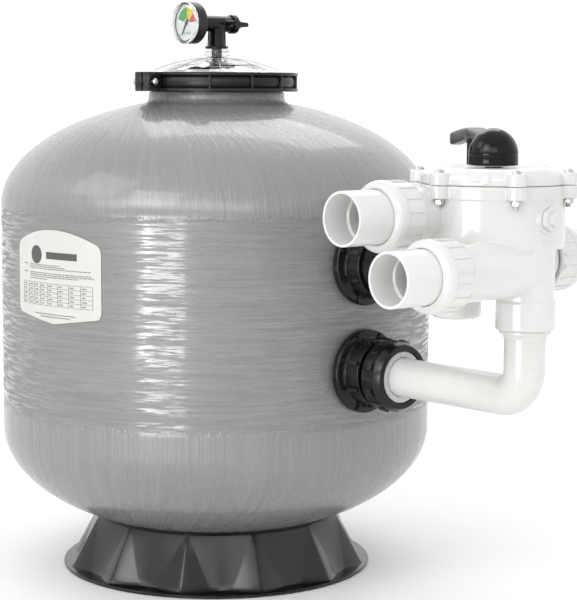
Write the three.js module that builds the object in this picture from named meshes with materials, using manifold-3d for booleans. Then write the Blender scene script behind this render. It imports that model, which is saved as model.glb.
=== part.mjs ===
// Side-mount sand filter tank: wound tank on a pleated foot, clear lid with pressure gauge,
// two bulkheads and a multiport valve with three pipe unions. Millimetres, +Z up.
// +X runs from the tank axis to the valve, and the two front unions face -Y.
import * as THREE from 'three';
import { mergeVertices } from 'three/addons/utils/BufferGeometryUtils.js';
import Module from 'manifold-3d';

const wasm = await Module();
wasm.setup();

// Gap kept between touching pieces
const GAP = 0.3;
// How far joined pieces run into each other, and cutting pieces run past the wall they cut
const OVERLAP = 2;
const CUT_REACH = 10;

// Segments round large, middling and small turned pieces
const LARGE = 28;
const MIDDLE = 16;
const SMALL = 8;
const NUT_TEETH = 8;
const BEND_STEPS = 5;

// Tank
const TANK_R = 265;
const TANK_WALL = 6;
const HEAD_H = 132.5;
const HEAD_STEPS = 5;
const STRAIGHT_BOTTOM_Z = 177;
const STRAIGHT_TOP_Z = 449;
const NECK_R = 82;
const NECK_BORE_R = 72;
const NECK_LAP_Z = 572;

// Clamped joint between neck and lid
const CLAMP_BOTTOM_Z = 588.6;
const CLAMP_TOP_Z = 611.4;
const CLAMP_R = 100;
const CLAMP_LIP = 3.6;
const CLAMP_LIP_R = 87;
const CLAMP_WALL_R = 96;
const CLAMP_SPLIT = 1;
const CLAMP_RIB_WIDTH = 3;
const CLAMP_BOLT_R = 3;
const CLAMP_HEAD_R = 6;
const CLAMP_HEAD_H = 4;
const CLAMP_NUT_R = 6.2;
const CLAMP_NUT_H = 5;
const CLAMP_WASHER_R = 7;
const CLAMP_WASHER_H = 1.2;
const CLAMP_BOLT_TAIL = 9;
const BOLT_PLAY = 0.4;
const FLANGE_R = 93.5;
const SEAL_SEAT_Z = 599;
const LID_SEAT_Z = 600.8;
const SEAL_R = 84;
const SEAL_SECTION_R = 2.1;
const SEAL_PLAY = 0.4;
const SEAL_GROOVE = 3;
const SEAL_LIFT = 0.6;
const SEAL_SIDES = 6;
const LID_RIBS = 6;
const LID_RIB_WIDTH = 3;
const LID_RIB_R = 66;
const LID_RIB_Z = 612;
const LID_WALL = 5;
const LID_THROAT_R = 81.5;
const LID_CROWN_Z = 629.7;
const LID_DOME_R = 190;
const LUG_Y = 106;
const LUG_THICK = 15;
const LUG_END_Y = LUG_Y + 8;
const LUG_HALF = (LUG_END_Y - FLANGE_R - 2) / 2;
const LUG_MID_Y = LUG_END_Y - LUG_HALF;
const CLAMP_RIB_DEGS = [-43.5, -13.5, 13.5, 43.5];
const CLAMP_MID_Z = (CLAMP_BOTTOM_Z + CLAMP_TOP_Z) / 2;

// Lid and gauge tee
const BOSS_R = 14.6;
const BOSS_BORE_R = 7;
const BOSS_TOP_Z = 640.7;
const BOSS_THREAD = 12;
const TEE_BASE_R = 14.3;
const TEE_BASE_H = 3;
const TEE_NECK_R = 11.5;
const TEE_STEM_R = 9.8;
const TEE_WEB_REACH = 11.5;
const TEE_SIDES = 14;
const NIPPLE_R = 3.6;
const NIPPLE_BORE_R = 1.8;
const NIPPLE_REACH = 24;
const NIPPLE_Y = 9;
const GAUGE_Z = 671;
const GAUGE_R = 25;
const GAUGE_SIDES = 24;
const GAUGE_CASE_WALL = 2;
const LENS_DEPTH = 4;
const DIAL_R = 22.4;
const DIAL_DEPTH = 6.6;
const DIAL_THICK = 0.9;
const NEEDLE_DEPTH = 5.2;
const NEEDLE_REACH = 17;
const NEEDLE_TAIL = 5.5;
const NEEDLE_HUB_R = 2.4;
const NEEDLE_TURN_DEG = -32;
const GAUGE_FACE_Y = -51.5;
const GAUGE_BACK_Y = -32.3;
const BARREL_R = 9.7;
const BARREL_END_Y = 20;
const KNOB_R = 11.5;
const KNOB_H = 8.5;
const KNOB_STEM_R = 4.5;
const KNOB_STEM = 11;
const KNOB_BORE = 12;
const KNOB_WING_REACH = 29;
const KNOB_WING_THICK = 4;

// Foot
const FOOT_R = 192.4;
const FOOT_TOP_R = 151.5;
const FOOT_TOP_Z = 67.4;
const FOOT_SEAT_SLOPE = 2.6;
const FOOT_RIDGE_R = 186;
const FOOT_VALLEY_R = 172;
const FOOT_WALL = 5;
const FOOT_FLANGE = 3.5;
const FOOT_PLEATS = 12;
const FOOT_TURN_DEG = 8;
const FOOT_FACET_DEG = 11.3;
const FOOT_FACET_TOP_DEG = 1.5;

// Bulkheads through the tank wall
const LOWER_Z = 272;
const UPPER_Z = 395.5;
const BULKHEAD_R = 31;
const BULKHEAD_BORE_R = 24;
const BULKHEAD_INNER_FACE_X = 246;
const BULKHEAD_FLANGE_R = 42;
const BULKHEAD_FLANGE = 8;
const THREAD_PITCH = 6;
const THREAD_DEPTH = 1.2;
const THREAD_START_X = 292.3;
const GASKET_INNER_R = 32;
const WALL_GASKET_R = 46;
const LOWER_END_X = 322;
const UPPER_END_X = 338;
const GASKET_X = 268.3;
const LOCK_NUT_X = 268.6;
const LOCK_NUT_FLANGE_R = 48;
const LOCK_NUT_R = 38;
const LOCK_NUT_LENGTH = 30;
const LOCK_NUT_FLANGE = 7;
const LUG_WIDTH = 5;
const LOCK_NUT_LUG_H = 3.5;
const UNION_NUT_LUG_H = 2;
const UNION_NUT_R = 39.5;
const LOWER_NUT_X = 305;
const UPPER_NUT_X = 322;
const UNION_NUT_LENGTH = 28;
const UNION_NUT_LIP = 5;
const UNION_NUT_TAPER = 2.5;
const UNION_OPENING_R = 29.5;

// Valve
const VALVE_X = 463;
const BODY_R = 76.5;
const BODY_BORE_R = 68;
const GASKET_OUTER_R = 72;
const GASKET_THICK = 2;
const BODY_BOTTOM_Z = 428;
const BODY_FLOOR_Z = 436;
const BODY_FLANGE_Z = 480.5;
const COVER_Z = 494;
const COVER_FLANGE_TOP_Z = 507.5;
const COVER_TOP_Z = 512;
const LOBE_PITCH_R = 80;
const LOBE_R = 10;
const COVER_PLATEAU_R = 62;
const COVER_SKIN = 9;
const COVER_INNER_R = 64;
const COVER_BOLT_R = 2.8;
const COVER_BOLT_TAIL = 9;
const COVER_HEAD_R = 5.5;
const COVER_NUT_R = 6;
const COVER_NUT_H = 5;
const NUT_SPACE_R = 8.5;
const NUT_SPACE_H = 12;
const COVER_BOLTS = 6;
const BOLT_TURN_DEG = 30;
const OUTER_PORT_X = 512;
const INNER_PORT_X = 413;
const OUTER_PORT_R = 29.5;
const INNER_PORT_R = 27;
const PORT_BORE_R = 21;
const COLLAR_R = 31;
const COLLAR_TOP_Z = 375;
const COLLAR_BOTTOM_Z = 345;
const INNER_PORT_BOTTOM_Z = 347;
const STUB_R = 29.5;
const STUB_BORE_R = 24;
const PLUG_Z = 461;
const PLUG_BOSS_R = 15.5;
const PLUG_BOSS_X = 542.7;
const PLUG_THREAD_R = 4.5;
const PLUG_THREAD = 12;
const PLUG_FLANGE_R = 13;
const PLUG_FLANGE = 5;
const PLUG_HEAD_R = 8;
const REACH_X = 553;

// Pipe unions: axis position, side the mouth faces, nut face nearest the valve
const UNIONS = [
  { name: 'pump_union', x: 436, z: 463, side: -1, root: 106 },
  { name: 'return_union', x: OUTER_PORT_X, z: 408.5, side: -1, root: 114 },
  { name: 'waste_union', x: 437, z: 407, side: 1, root: 104 },
];
const SOCKET_R = 28.2;
const SOCKET_BORE_R = 25;
const SOCKET_REACH = 85;
const UNION_LENGTH = 39.5;
const UNION_END_Z = 15;
const PIPE_UNION_R = 37.5;
const UNION_GRIP_DEPTH = 1.2;
const UNION_GRIP_WIDTH = 2.8;
const UNION_GRIP_START_Z = 3;
const UNION_CORE_Z = 25;
const UNION_FRONT_Z = 26;
const UNION_SHOULDER_Z = 32;
const UNION_FLARE_Z = 36.5;
const UNION_MOUTH_R = 31.5;
const UNION_LIP_Z = 23;
const SOCKET_STOP_R = 22;
const SOCKET_STOP_Z = 55;
const SOCKET_FLANGE_Z = 22.6;
const PIPE_SEAL_THICK = 3;

// Elbow pipe
const PIPE_R = 21.7;
const PIPE_BORE_R = 18.5;
const PIPE_START_X = 323;
const PIPE_BEND_R = 30;
const PIPE_TOP_Z = 344.5;
const PIPE_RIM_R = 27;
const PIPE_RIM = 4;
const RING_FLANGE = 5;

// Selector
const SHAFT_R = 9;
const SHAFT_PLAY = 0.6;
const PIN_Z = 532;
const PIN_R = 3.4;
const PIN_HALF = 13.2;
const PIN_COVER = 9;
const LEVER_TURN_DEG = 155;
const LEVER_ROOT = 24;
const LEVER_REACH = 108;
const LEVER_WIDTH = 22;
const LEVER_ROOT_Z = 517;
const LEVER_UNDER_Z = 537.5;
const LEVER_TOP_Z = 551.5;
const LEVER_TIP_LOW_Z = 531;
const LEVER_TIP_HIGH_Z = 545;
const LEVER_MID = 62;
const CURVE_STEPS = 6;
const WRAP_R = 29.3;
const WRAP_TOP_Z = 541;
const WRAP_START = 4;
const CHEEK_START = -9;
const CHEEK_INNER_Y = 9.8;
const CHEEK_OUTER_Y = 13.4;
const CHEEK_BOTTOM_Z = 518;
const CAP_R = 26.3;
const CAP_WALL = 3.5;
const CAP_SLOT_HALF = 14.6;
const CAP_SLOT_TOP_Z = 541.5;
const WASHER_R = 17;
const WASHER_THICK = 3;
const CAP_BASE_Z = 513.2;
const CAP_TOP_Z = 552;
const ROTOR_Z = 439.6;
const ROTOR_THICK = 12;
const ROTOR_R = 60;
const SPRING_R = 17;
const SPRING_WIRE_R = 2;
const SPRING_TURNS = 4;
const SPRING_STEPS = 40;
const SPRING_SIDES = 5;
const GASKET_PLATE = 3;

// Inside the tank
const RISER_R = 21;
const RISER_WALL = 3;
const RISER_BEND_R = 60;
const RISER_SIDES = 12;
const LATERALS = 6;
const LATERAL_Z = 128;
const HUB_R = 30;
const HUB_BOTTOM_Z = 108;
const HUB_TOP_Z = 160;
const HUB_FLOOR_Z = 114;
const HUB_PIPE_Z = 150;
const LATERAL_R = 8.8;
const LATERAL_BORE_R = 7;
const LATERAL_START = 20;
const LATERAL_END = 175;
const LATERAL_PLAY = 0.9;
const DIFFUSER_Z = 522;
const DIFFUSER_R = 55;
const DIFFUSER_PIPE_Z = 500;
const DIFFUSER_WEB_Z = 494;
const DIFFUSER_WEB_R = 42;

// Label on the tank wall
const LABEL_TURN_DEG = -83.3;
const LABEL_HALF_ARC = 72;
const LABEL_TOP_Z = 414;
const LABEL_BOTTOM_Z = 333;
const LABEL_CROWN = 17;
const LABEL_POINT = 10;
const LABEL_THICK = 0.7;
const LABEL_STEPS = 10;

const FINISH = {
  tank: { color: 0x9d9d9b, roughness: 0.45, metalness: 0.1 },
  black: { color: 0x1b1b1c, roughness: 0.35, metalness: 0 },
  white: { color: 0xf0eeeb, roughness: 0.3, metalness: 0 },
  clear: { color: 0xdfe6e8, roughness: 0.08, metalness: 0 },
  steel: { color: 0xb4b4b2, roughness: 0.3, metalness: 1 },
  rubber: { color: 0x141414, roughness: 0.8, metalness: 0 },
  grey: { color: 0x77777a, roughness: 0.4, metalness: 0 },
  paper: { color: 0xe6e6df, roughness: 0.6, metalness: 0 },
};

const filter = new THREE.Group();
filter.position.x = -(REACH_X - TANK_R) / 2;

function place(parent, name, geometry, finish) {
  const mesh = new THREE.Mesh(geometry, new THREE.MeshStandardMaterial(FINISH[finish]));
  mesh.name = name;
  parent.add(mesh);
  return mesh;
}

function groupAt(parent, x, y, z, turn = 0) {
  const group = new THREE.Group();
  group.position.set(x, y, z);
  group.rotation.z = turn;
  parent.add(group);
  return group;
}

const radians = THREE.MathUtils.degToRad;

// Geometry with shared vertices, no collapsed triangles and its faces pointing out
function closed(geometry) {
  const bare = geometry.clone();
  bare.deleteAttribute('normal');
  bare.deleteAttribute('uv');
  const merged = mergeVertices(bare, 1e-4);
  const position = merged.getAttribute('position');
  const index = merged.getIndex().array;
  const kept = [];
  let volume = 0;
  const [a, b, c] = [new THREE.Vector3(), new THREE.Vector3(), new THREE.Vector3()];
  for (let i = 0; i < index.length; i += 3) {
    const [p, q, r] = [index[i], index[i + 1], index[i + 2]];
    if (p === q || q === r || r === p) continue;
    a.fromBufferAttribute(position, p);
    b.fromBufferAttribute(position, q);
    c.fromBufferAttribute(position, r);
    volume += a.dot(b.cross(c));
    kept.push(p, q, r);
  }
  if (volume < 0) kept.reverse();
  merged.setIndex(kept);
  return merged;
}

function toSolid(geometry) {
  const clean = closed(geometry);
  return new wasm.Manifold(new wasm.Mesh({
    numProp: 3,
    vertProperties: new Float32Array(clean.getAttribute('position').array),
    triVerts: new Uint32Array(clean.getIndex().array),
  }));
}

function toGeometry(solid) {
  const mesh = solid.getMesh();
  const geometry = new THREE.BufferGeometry();
  geometry.setAttribute('position', new THREE.BufferAttribute(mesh.vertProperties, 3));
  geometry.setIndex(new THREE.BufferAttribute(mesh.triVerts, 1));
  return geometry;
}

function combine(base, added, cuts) {
  let solid = toSolid(base);
  for (const piece of added) solid = solid.add(toSolid(piece));
  for (const piece of cuts) solid = solid.subtract(toSolid(piece));
  return toGeometry(solid);
}

// Turned shape about Z from [radius, height] points; a ring profile closes on itself
function turned(points, segments) {
  const profile = points.map(([r, z]) => new THREE.Vector2(r, z));
  const open = points[0][0] === 0 && points.at(-1)[0] === 0;
  if (!open) profile.push(profile[0].clone());
  return closed(new THREE.LatheGeometry(profile, segments).rotateX(Math.PI / 2));
}

function rod(radius, z0, z1, segments = MIDDLE) {
  return turned([[0, z0], [radius, z0], [radius, z1], [0, z1]], segments);
}

function ring(inner, outer, z0, z1, segments = MIDDLE) {
  return turned([[inner, z0], [outer, z0], [outer, z1], [inner, z1]], segments);
}

// Bore whose flats still clear a turning piece of the given radius
function boreFor(radius, segments) {
  return (radius + GAP) / Math.cos(Math.PI / segments);
}

// Lays a shape made along Z down along X or along -Y / +Y
const alongX = (geometry) => geometry.rotateY(Math.PI / 2);
const alongY = (geometry, side) => geometry.rotateX(side > 0 ? -Math.PI / 2 : Math.PI / 2);

function box(x0, x1, y0, y1, z0, z1) {
  const geometry = new THREE.BoxGeometry(x1 - x0, y1 - y0, z1 - z0);
  return geometry.translate((x0 + x1) / 2, (y0 + y1) / 2, (z0 + z1) / 2);
}

// Flat shape through [x, y] points, given an even thickness about its own plane
function plate(points, thick) {
  const shape = new THREE.Shape(points.map(([x, y]) => new THREE.Vector2(x, y)));
  const geometry = new THREE.ExtrudeGeometry(shape, { depth: thick, bevelEnabled: false });
  return geometry.translate(0, 0, -thick / 2);
}

function arcPoints(radiusR, radiusZ, centreZ, fromDeg, toDeg, steps) {
  const points = [];
  for (let i = 0; i <= steps; i += 1) {
    const angle = radians(fromDeg + ((toDeg - fromDeg) * i) / steps);
    points.push([radiusR * Math.cos(angle), centreZ + radiusZ * Math.sin(angle)]);
  }
  return points;
}

function hexagon(radius, z0, z1) {
  return rod(radius, z0, z1, 6);
}

// Skin through columns of [x, y, z] loops, joined round into a ring or capped at both ends
function skin(columns, joined = true) {
  const loop = columns[0].length;
  const position = columns.flat(2);
  const index = [];
  const spans = joined ? columns.length : columns.length - 1;
  for (let i = 0; i < spans; i += 1) {
    const next = (i + 1) % columns.length;
    for (let j = 0; j < loop; j += 1) {
      const k = (j + 1) % loop;
      const [a, b] = [i * loop + j, next * loop + j];
      const [c, d] = [next * loop + k, i * loop + k];
      index.push(a, b, c, a, c, d);
    }
  }
  const last = (columns.length - 1) * loop;
  for (let j = 1; j < loop - 1 && !joined; j += 1) {
    index.push(0, j, j + 1);
    index.push(last, last + j + 1, last + j);
  }
  const geometry = new THREE.BufferGeometry();
  geometry.setAttribute('position', new THREE.Float32BufferAttribute(position, 3));
  geometry.setIndex(index);
  return closed(geometry);
}

function bar(path, steps, radius, sides) {
  const outline = new THREE.Shape(circlePoints(radius, sides));
  return closed(new THREE.ExtrudeGeometry(outline, { steps, extrudePath: path }));
}

function circlePoints(radius, sides) {
  const points = [];
  for (let i = 0; i < sides; i += 1) {
    const angle = (2 * Math.PI * i) / sides;
    points.push(new THREE.Vector2(radius * Math.cos(angle), radius * Math.sin(angle)));
  }
  return points;
}

// Round bar with straight ends and a quarter bend in the XZ plane; reach adds to both ends
function bentRod(start, corner, end, bend, radius, sides, reach = 0) {
  const toStart = start.clone().sub(corner).normalize();
  const toEnd = end.clone().sub(corner).normalize();
  const centre = corner.clone().addScaledVector(toStart, bend).addScaledVector(toEnd, bend);
  const first = start.clone().addScaledVector(toStart, reach);
  const stations = [{ point: first, outward: toEnd.clone().negate() }];
  for (let i = 0; i <= BEND_STEPS; i += 1) {
    const turn = ((Math.PI / 2) * i) / BEND_STEPS;
    const outward = toEnd.clone().multiplyScalar(-Math.cos(turn));
    outward.addScaledVector(toStart, -Math.sin(turn));
    stations.push({ point: centre.clone().addScaledVector(outward, bend), outward });
  }
  stations.push({ point: end.clone().addScaledVector(toEnd, reach), outward: toStart.clone().negate() });
  return skin(stations.map(({ point, outward }) => (
    circlePoints(radius, sides).map(({ x, y }) => (
      [point.x + outward.x * x, y, point.z + outward.z * x]
    ))
  )), false);
}

// --- Tank, neck and foot ---

function tankShell() {
  const neckAngle = (radius) => THREE.MathUtils.radToDeg(Math.acos(NECK_R / radius));
  const inR = TANK_R - TANK_WALL;
  const inH = HEAD_H - TANK_WALL;
  const outer = [
    ...arcPoints(TANK_R, HEAD_H, STRAIGHT_BOTTOM_Z, -90, 0, HEAD_STEPS),
    ...arcPoints(TANK_R, HEAD_H, STRAIGHT_TOP_Z, 0, neckAngle(TANK_R), HEAD_STEPS),
  ];
  const inner = [
    ...arcPoints(inR, inH, STRAIGHT_TOP_Z, neckAngle(inR), 0, HEAD_STEPS),
    ...arcPoints(inR, inH, STRAIGHT_BOTTOM_Z, 0, -90, HEAD_STEPS),
  ];
  outer[0][0] = 0;
  inner[inner.length - 1][0] = 0;
  const shell = turned([...outer, ...inner], LARGE);
  const holes = [LOWER_Z, UPPER_Z].map((z) => (
    alongX(rod(boreFor(BULKHEAD_R, MIDDLE), inR - CUT_REACH, TANK_R + CUT_REACH)).translate(0, 0, z)
  ));
  return combine(shell, [], holes);
}

function neckRing() {
  const seat = SEAL_SECTION_R + SEAL_PLAY;
  const grooveZ = SEAL_SEAT_Z - SEAL_GROOVE;
  const flangeZ = CLAMP_BOTTOM_Z + CLAMP_LIP + GAP;
  return turned([
    [NECK_BORE_R, NECK_LAP_Z],
    [NECK_R - GAP, NECK_LAP_Z],
    [NECK_R - GAP, flangeZ],
    [FLANGE_R, flangeZ],
    [FLANGE_R, SEAL_SEAT_Z],
    [SEAL_R + seat, SEAL_SEAT_Z],
    [SEAL_R + seat, grooveZ],
    [SEAL_R - seat, grooveZ],
    [SEAL_R - seat, SEAL_SEAT_Z],
    [NECK_BORE_R, SEAL_SEAT_Z],
  ], LARGE);
}

// Each ridge is a wedge whose two faces are triangles: wide at the foot, closing up at the top
function footSkirt() {
  const columns = [];
  const at = (r, angle, z) => [r * Math.cos(angle), r * Math.sin(angle), z];
  for (let i = 0; i < FOOT_PLEATS * 3; i += 1) {
    const ridge = radians(FOOT_TURN_DEG + (360 * Math.floor(i / 3)) / FOOT_PLEATS);
    const side = (i % 3) - 1;
    const low = ridge + side * radians(FOOT_FACET_DEG);
    const high = ridge + side * radians(FOOT_FACET_TOP_DEG);
    const foot = side === 0 ? FOOT_RIDGE_R : FOOT_VALLEY_R;
    columns.push([
      at(FOOT_R, low, 0),
      at(FOOT_R, low, FOOT_FLANGE),
      at(foot, low, FOOT_FLANGE),
      at(FOOT_TOP_R, high, FOOT_TOP_Z),
      at(FOOT_TOP_R - FOOT_WALL, high, FOOT_TOP_Z - FOOT_SEAT_SLOPE),
      at(foot - FOOT_WALL, low, FOOT_FLANGE),
      at(foot - FOOT_WALL, low, 0),
    ]);
  }
  return skin(columns);
}

function tankLabel() {
  const inner = TANK_R + GAP;
  const outer = inner + LABEL_THICK;
  const columns = [];
  for (let i = 0; i <= LABEL_STEPS; i += 1) {
    const across = (2 * i) / LABEL_STEPS - 1;
    const angle = (across * LABEL_HALF_ARC) / TANK_R;
    const top = LABEL_TOP_Z + LABEL_CROWN * (1 - across * across);
    const bottom = LABEL_BOTTOM_Z - LABEL_POINT * (1 - Math.abs(across));
    const at = (r, z) => [r * Math.cos(angle), r * Math.sin(angle), z];
    columns.push([at(inner, bottom), at(outer, bottom), at(outer, top), at(inner, top)]);
  }
  return skin(columns, false);
}

// --- Lid, clamp and gauge ---

function clearLid() {
  const domeZ = (r) => LID_CROWN_Z - (r * r) / (2 * LID_DOME_R);
  const rimZ = CLAMP_TOP_Z - CLAMP_LIP - GAP;
  const hubR = BOSS_R + 20;
  const underside = [
    [LID_THROAT_R, LID_SEAT_Z],
    [LID_THROAT_R - 3, LID_SEAT_Z + LID_WALL],
    [hubR, domeZ(hubR) - LID_WALL],
    [BOSS_BORE_R, domeZ(BOSS_BORE_R) - LID_WALL],
  ];
  const top = [
    [BOSS_BORE_R, BOSS_TOP_Z],
    [BOSS_R, BOSS_TOP_Z],
    ...[BOSS_R, hubR, LID_RIB_R - 6, LID_RIB_R + 10].map((r) => [r, domeZ(r)]),
    [CLAMP_LIP_R - 1.5, rimZ],
    [FLANGE_R, rimZ],
    [FLANGE_R, LID_SEAT_Z],
  ];
  const near = BOSS_BORE_R + 4;
  const crest = [LID_RIB_R, hubR, near].map((r) => [r, domeZ(r) - 1]);
  const web = [[near, LID_RIB_Z], [LID_RIB_R, LID_RIB_Z], ...crest];
  const ribs = [];
  for (let i = 0; i < LID_RIBS; i += 1) {
    const rib = plate(web, LID_RIB_WIDTH).rotateX(Math.PI / 2);
    ribs.push(rib.rotateZ((2 * Math.PI * (i + 0.5)) / LID_RIBS));
  }
  return combine(turned([...underside, ...top], LARGE), ribs, []);
}

function clampHalf() {
  const lipTop = CLAMP_TOP_Z - CLAMP_LIP;
  const lipBottom = CLAMP_BOTTOM_Z + CLAMP_LIP;
  const channelR = FLANGE_R + GAP;
  const whole = turned([
    [CLAMP_LIP_R, CLAMP_BOTTOM_Z], [CLAMP_R, CLAMP_BOTTOM_Z], [CLAMP_R, lipBottom],
    [CLAMP_WALL_R, lipBottom], [CLAMP_WALL_R, lipTop], [CLAMP_R, lipTop],
    [CLAMP_R, CLAMP_TOP_Z], [CLAMP_LIP_R, CLAMP_TOP_Z], [CLAMP_LIP_R, lipTop],
    [channelR, lipTop], [channelR, lipBottom], [CLAMP_LIP_R, lipBottom],
  ], LARGE);
  const far = CLAMP_R + CUT_REACH;
  const otherHalf = box(-far, CLAMP_SPLIT, -far, far, CLAMP_BOTTOM_Z - 1, CLAMP_TOP_Z + 1);
  const half = toGeometry(toSolid(whole).subtract(toSolid(otherHalf)));
  return combine(half, [...clampRibs(lipBottom, lipTop), ...clampLugs()], clampBoltHoles());
}

function clampRibs(lipBottom, lipTop) {
  const half = CLAMP_RIB_WIDTH / 2;
  return CLAMP_RIB_DEGS.map((turn) => (
    box(CLAMP_WALL_R - 1, CLAMP_R, -half, half, lipBottom - 1, lipTop + 1).rotateZ(radians(turn))
  ));
}

function clampLugs() {
  return [-1, 1].map((side) => (
    box(CLAMP_SPLIT, LUG_THICK, -LUG_HALF, LUG_HALF, CLAMP_BOTTOM_Z, CLAMP_TOP_Z)
      .translate(0, side * LUG_MID_Y, 0)
  ));
}

function clampBoltHoles() {
  const hole = () => alongX(rod(CLAMP_BOLT_R + BOLT_PLAY, -1, LUG_THICK + 1, SMALL));
  return [-1, 1].map((side) => hole().translate(0, side * LUG_Y, CLAMP_MID_Z));
}

// Bolt with its nut, laid along X, shank from one lug face to the other
function clampBolt() {
  const grip = LUG_THICK + GAP;
  const shank = rod(CLAMP_BOLT_R, -grip - CLAMP_BOLT_TAIL, grip + 1, SMALL);
  const head = rod(CLAMP_HEAD_R, grip, grip + CLAMP_HEAD_H, SMALL);
  const nut = hexagon(CLAMP_NUT_R, -grip - CLAMP_NUT_H, -grip);
  const washer = rod(CLAMP_WASHER_R, -grip - CLAMP_WASHER_H, -grip, SMALL);
  return alongX(combine(shank, [head, nut, washer], []));
}

function gaugeTee() {
  const stemR = BOSS_BORE_R - GAP;
  const seatZ = BOSS_TOP_Z + GAP;
  const stem = turned([
    [0, BOSS_TOP_Z - BOSS_THREAD], [stemR, BOSS_TOP_Z - BOSS_THREAD], [stemR, seatZ],
    [TEE_BASE_R, seatZ], [TEE_BASE_R, BOSS_TOP_Z + TEE_BASE_H], [TEE_NECK_R, seatZ + TEE_BASE_H],
    [TEE_STEM_R, GAUGE_Z - 8], [TEE_STEM_R, GAUGE_Z], [0, GAUGE_Z],
  ], TEE_SIDES);
  const barrel = alongY(rod(BARREL_R, -BARREL_END_Y, -GAUGE_BACK_Y - GAP, TEE_SIDES), -1);
  const onNipple = (geometry) => alongX(geometry).translate(0, NIPPLE_Y, GAUGE_Z + 1);
  const nipple = onNipple(rod(NIPPLE_R, 0, NIPPLE_REACH, SMALL));
  const webs = [0, 1, 2, 3].map((i) => (
    box(TEE_STEM_R / 2, TEE_WEB_REACH, -1, 1, BOSS_TOP_Z + OVERLAP, GAUGE_Z - 6)
      .rotateZ((Math.PI * (2 * i + 1)) / 4)
  ));
  const nippleBore = onNipple(rod(NIPPLE_BORE_R, NIPPLE_REACH / 2, NIPPLE_REACH + CUT_REACH, SMALL));
  const [boreStart, boreEnd] = [BARREL_END_Y - KNOB_BORE, BARREL_END_Y + CUT_REACH];
  const screwBore = alongY(rod(KNOB_STEM_R + 0.5, boreStart, boreEnd, SMALL), 1).translate(0, 0, GAUGE_Z);
  return combine(stem, [barrel.translate(0, 0, GAUGE_Z), nipple, ...webs], [nippleBore, screwBore]);
}

// Gauge pieces are turned about their own axis, the face looking along +Z
function gaugeCase() {
  const back = GAUGE_FACE_Y - GAUGE_BACK_Y;
  const inner = GAUGE_R - GAUGE_CASE_WALL;
  return turned([
    [0, back], [inner, back], [GAUGE_R, back + GAUGE_CASE_WALL], [GAUGE_R, -LENS_DEPTH],
    [inner, -LENS_DEPTH], [inner, back + GAUGE_CASE_WALL], [0, back + GAUGE_CASE_WALL],
  ], GAUGE_SIDES);
}

function gaugeLens() {
  const back = -LENS_DEPTH + GAP;
  return turned([
    [0, -1.6], [GAUGE_R - 3, -1.6], [DIAL_R + 0.2, back], [GAUGE_R, back],
    [GAUGE_R, -1], [GAUGE_R - 1, 0], [GAUGE_R - 2.2, -0.4], [0, -0.4],
  ], GAUGE_SIDES);
}

function gaugeNeedle() {
  const hub = rod(NEEDLE_HUB_R, 0, 1.6, SMALL);
  const outline = [[-1.4, NEEDLE_TAIL], [-0.5, -NEEDLE_REACH], [0.5, -NEEDLE_REACH], [1.4, NEEDLE_TAIL]];
  return combine(hub, [plate(outline, 0.8).translate(0, 0, 0.7)], []);
}

function bleedKnob() {
  const disc = rod(KNOB_R, 1, KNOB_H, MIDDLE);
  const stem = rod(KNOB_STEM_R, -KNOB_STEM, OVERLAP, SMALL);
  const wing = [
    [-8, KNOB_H - 0.5], [8, KNOB_H - 0.5], [3, 18],
    [2.5, KNOB_WING_REACH], [-2.5, KNOB_WING_REACH], [-3, 18],
  ];
  const grip = plate(wing, KNOB_WING_THICK).rotateX(Math.PI / 2).rotateZ(Math.PI / 2);
  return combine(disc, [stem, grip], []);
}

// --- Bulkheads ---

// Turned about Z, which becomes +X; zero is the tank axis
function bulkheadBody(endX) {
  const face = BULKHEAD_INNER_FACE_X;
  const profile = [
    [BULKHEAD_BORE_R, face], [BULKHEAD_FLANGE_R, face], [BULKHEAD_FLANGE_R, face + BULKHEAD_FLANGE],
    [BULKHEAD_R, face + BULKHEAD_FLANGE],
  ];
  for (let x = THREAD_START_X; x + THREAD_PITCH < endX; x += THREAD_PITCH) {
    profile.push([BULKHEAD_R, x], [BULKHEAD_R - THREAD_DEPTH, x + THREAD_PITCH / 2]);
  }
  profile.push([BULKHEAD_R, endX - 1], [BULKHEAD_R - 1, endX], [BULKHEAD_BORE_R, endX]);
  return alongX(turned(profile, MIDDLE));
}

function lockNut() {
  const bore = boreFor(BULKHEAD_R, MIDDLE);
  const body = turned([
    [bore, 0], [LOCK_NUT_FLANGE_R, 0], [LOCK_NUT_FLANGE_R, LOCK_NUT_FLANGE],
    [LOCK_NUT_R, LOCK_NUT_FLANGE], [LOCK_NUT_R, LOCK_NUT_LENGTH], [bore, LOCK_NUT_LENGTH],
  ], MIDDLE);
  const lugs = gripTeeth(LOCK_NUT_R, LOCK_NUT_LUG_H, LUG_WIDTH, LOCK_NUT_FLANGE - 1, LOCK_NUT_LENGTH);
  return alongX(combine(body, lugs, []));
}

// Square teeth that stand out of a nut of the given radius
function gripTeeth(radius, height, width, z0, z1) {
  const teeth = [];
  for (let i = 0; i < NUT_TEETH; i += 1) {
    const tooth = box(radius - OVERLAP, radius + height, -width / 2, width / 2, z0, z1);
    teeth.push(tooth.rotateZ((2 * Math.PI * (i + 0.5)) / NUT_TEETH));
  }
  return teeth;
}

function bulkheadUnionNut() {
  const lip = UNION_NUT_LENGTH - UNION_NUT_LIP;
  const bore = boreFor(BULKHEAD_R, MIDDLE);
  const shell = turned([
    [bore, 0], [UNION_NUT_R, 0], [UNION_NUT_R, lip - OVERLAP],
    [UNION_NUT_R - UNION_NUT_TAPER, UNION_NUT_LENGTH],
    [UNION_OPENING_R, UNION_NUT_LENGTH], [UNION_OPENING_R, lip], [bore, lip],
  ], MIDDLE);
  const lugs = gripTeeth(UNION_NUT_R, UNION_NUT_LUG_H, LUG_WIDTH, UNION_NUT_LIP, lip - 3);
  return alongX(combine(shell, lugs, []));
}

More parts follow.
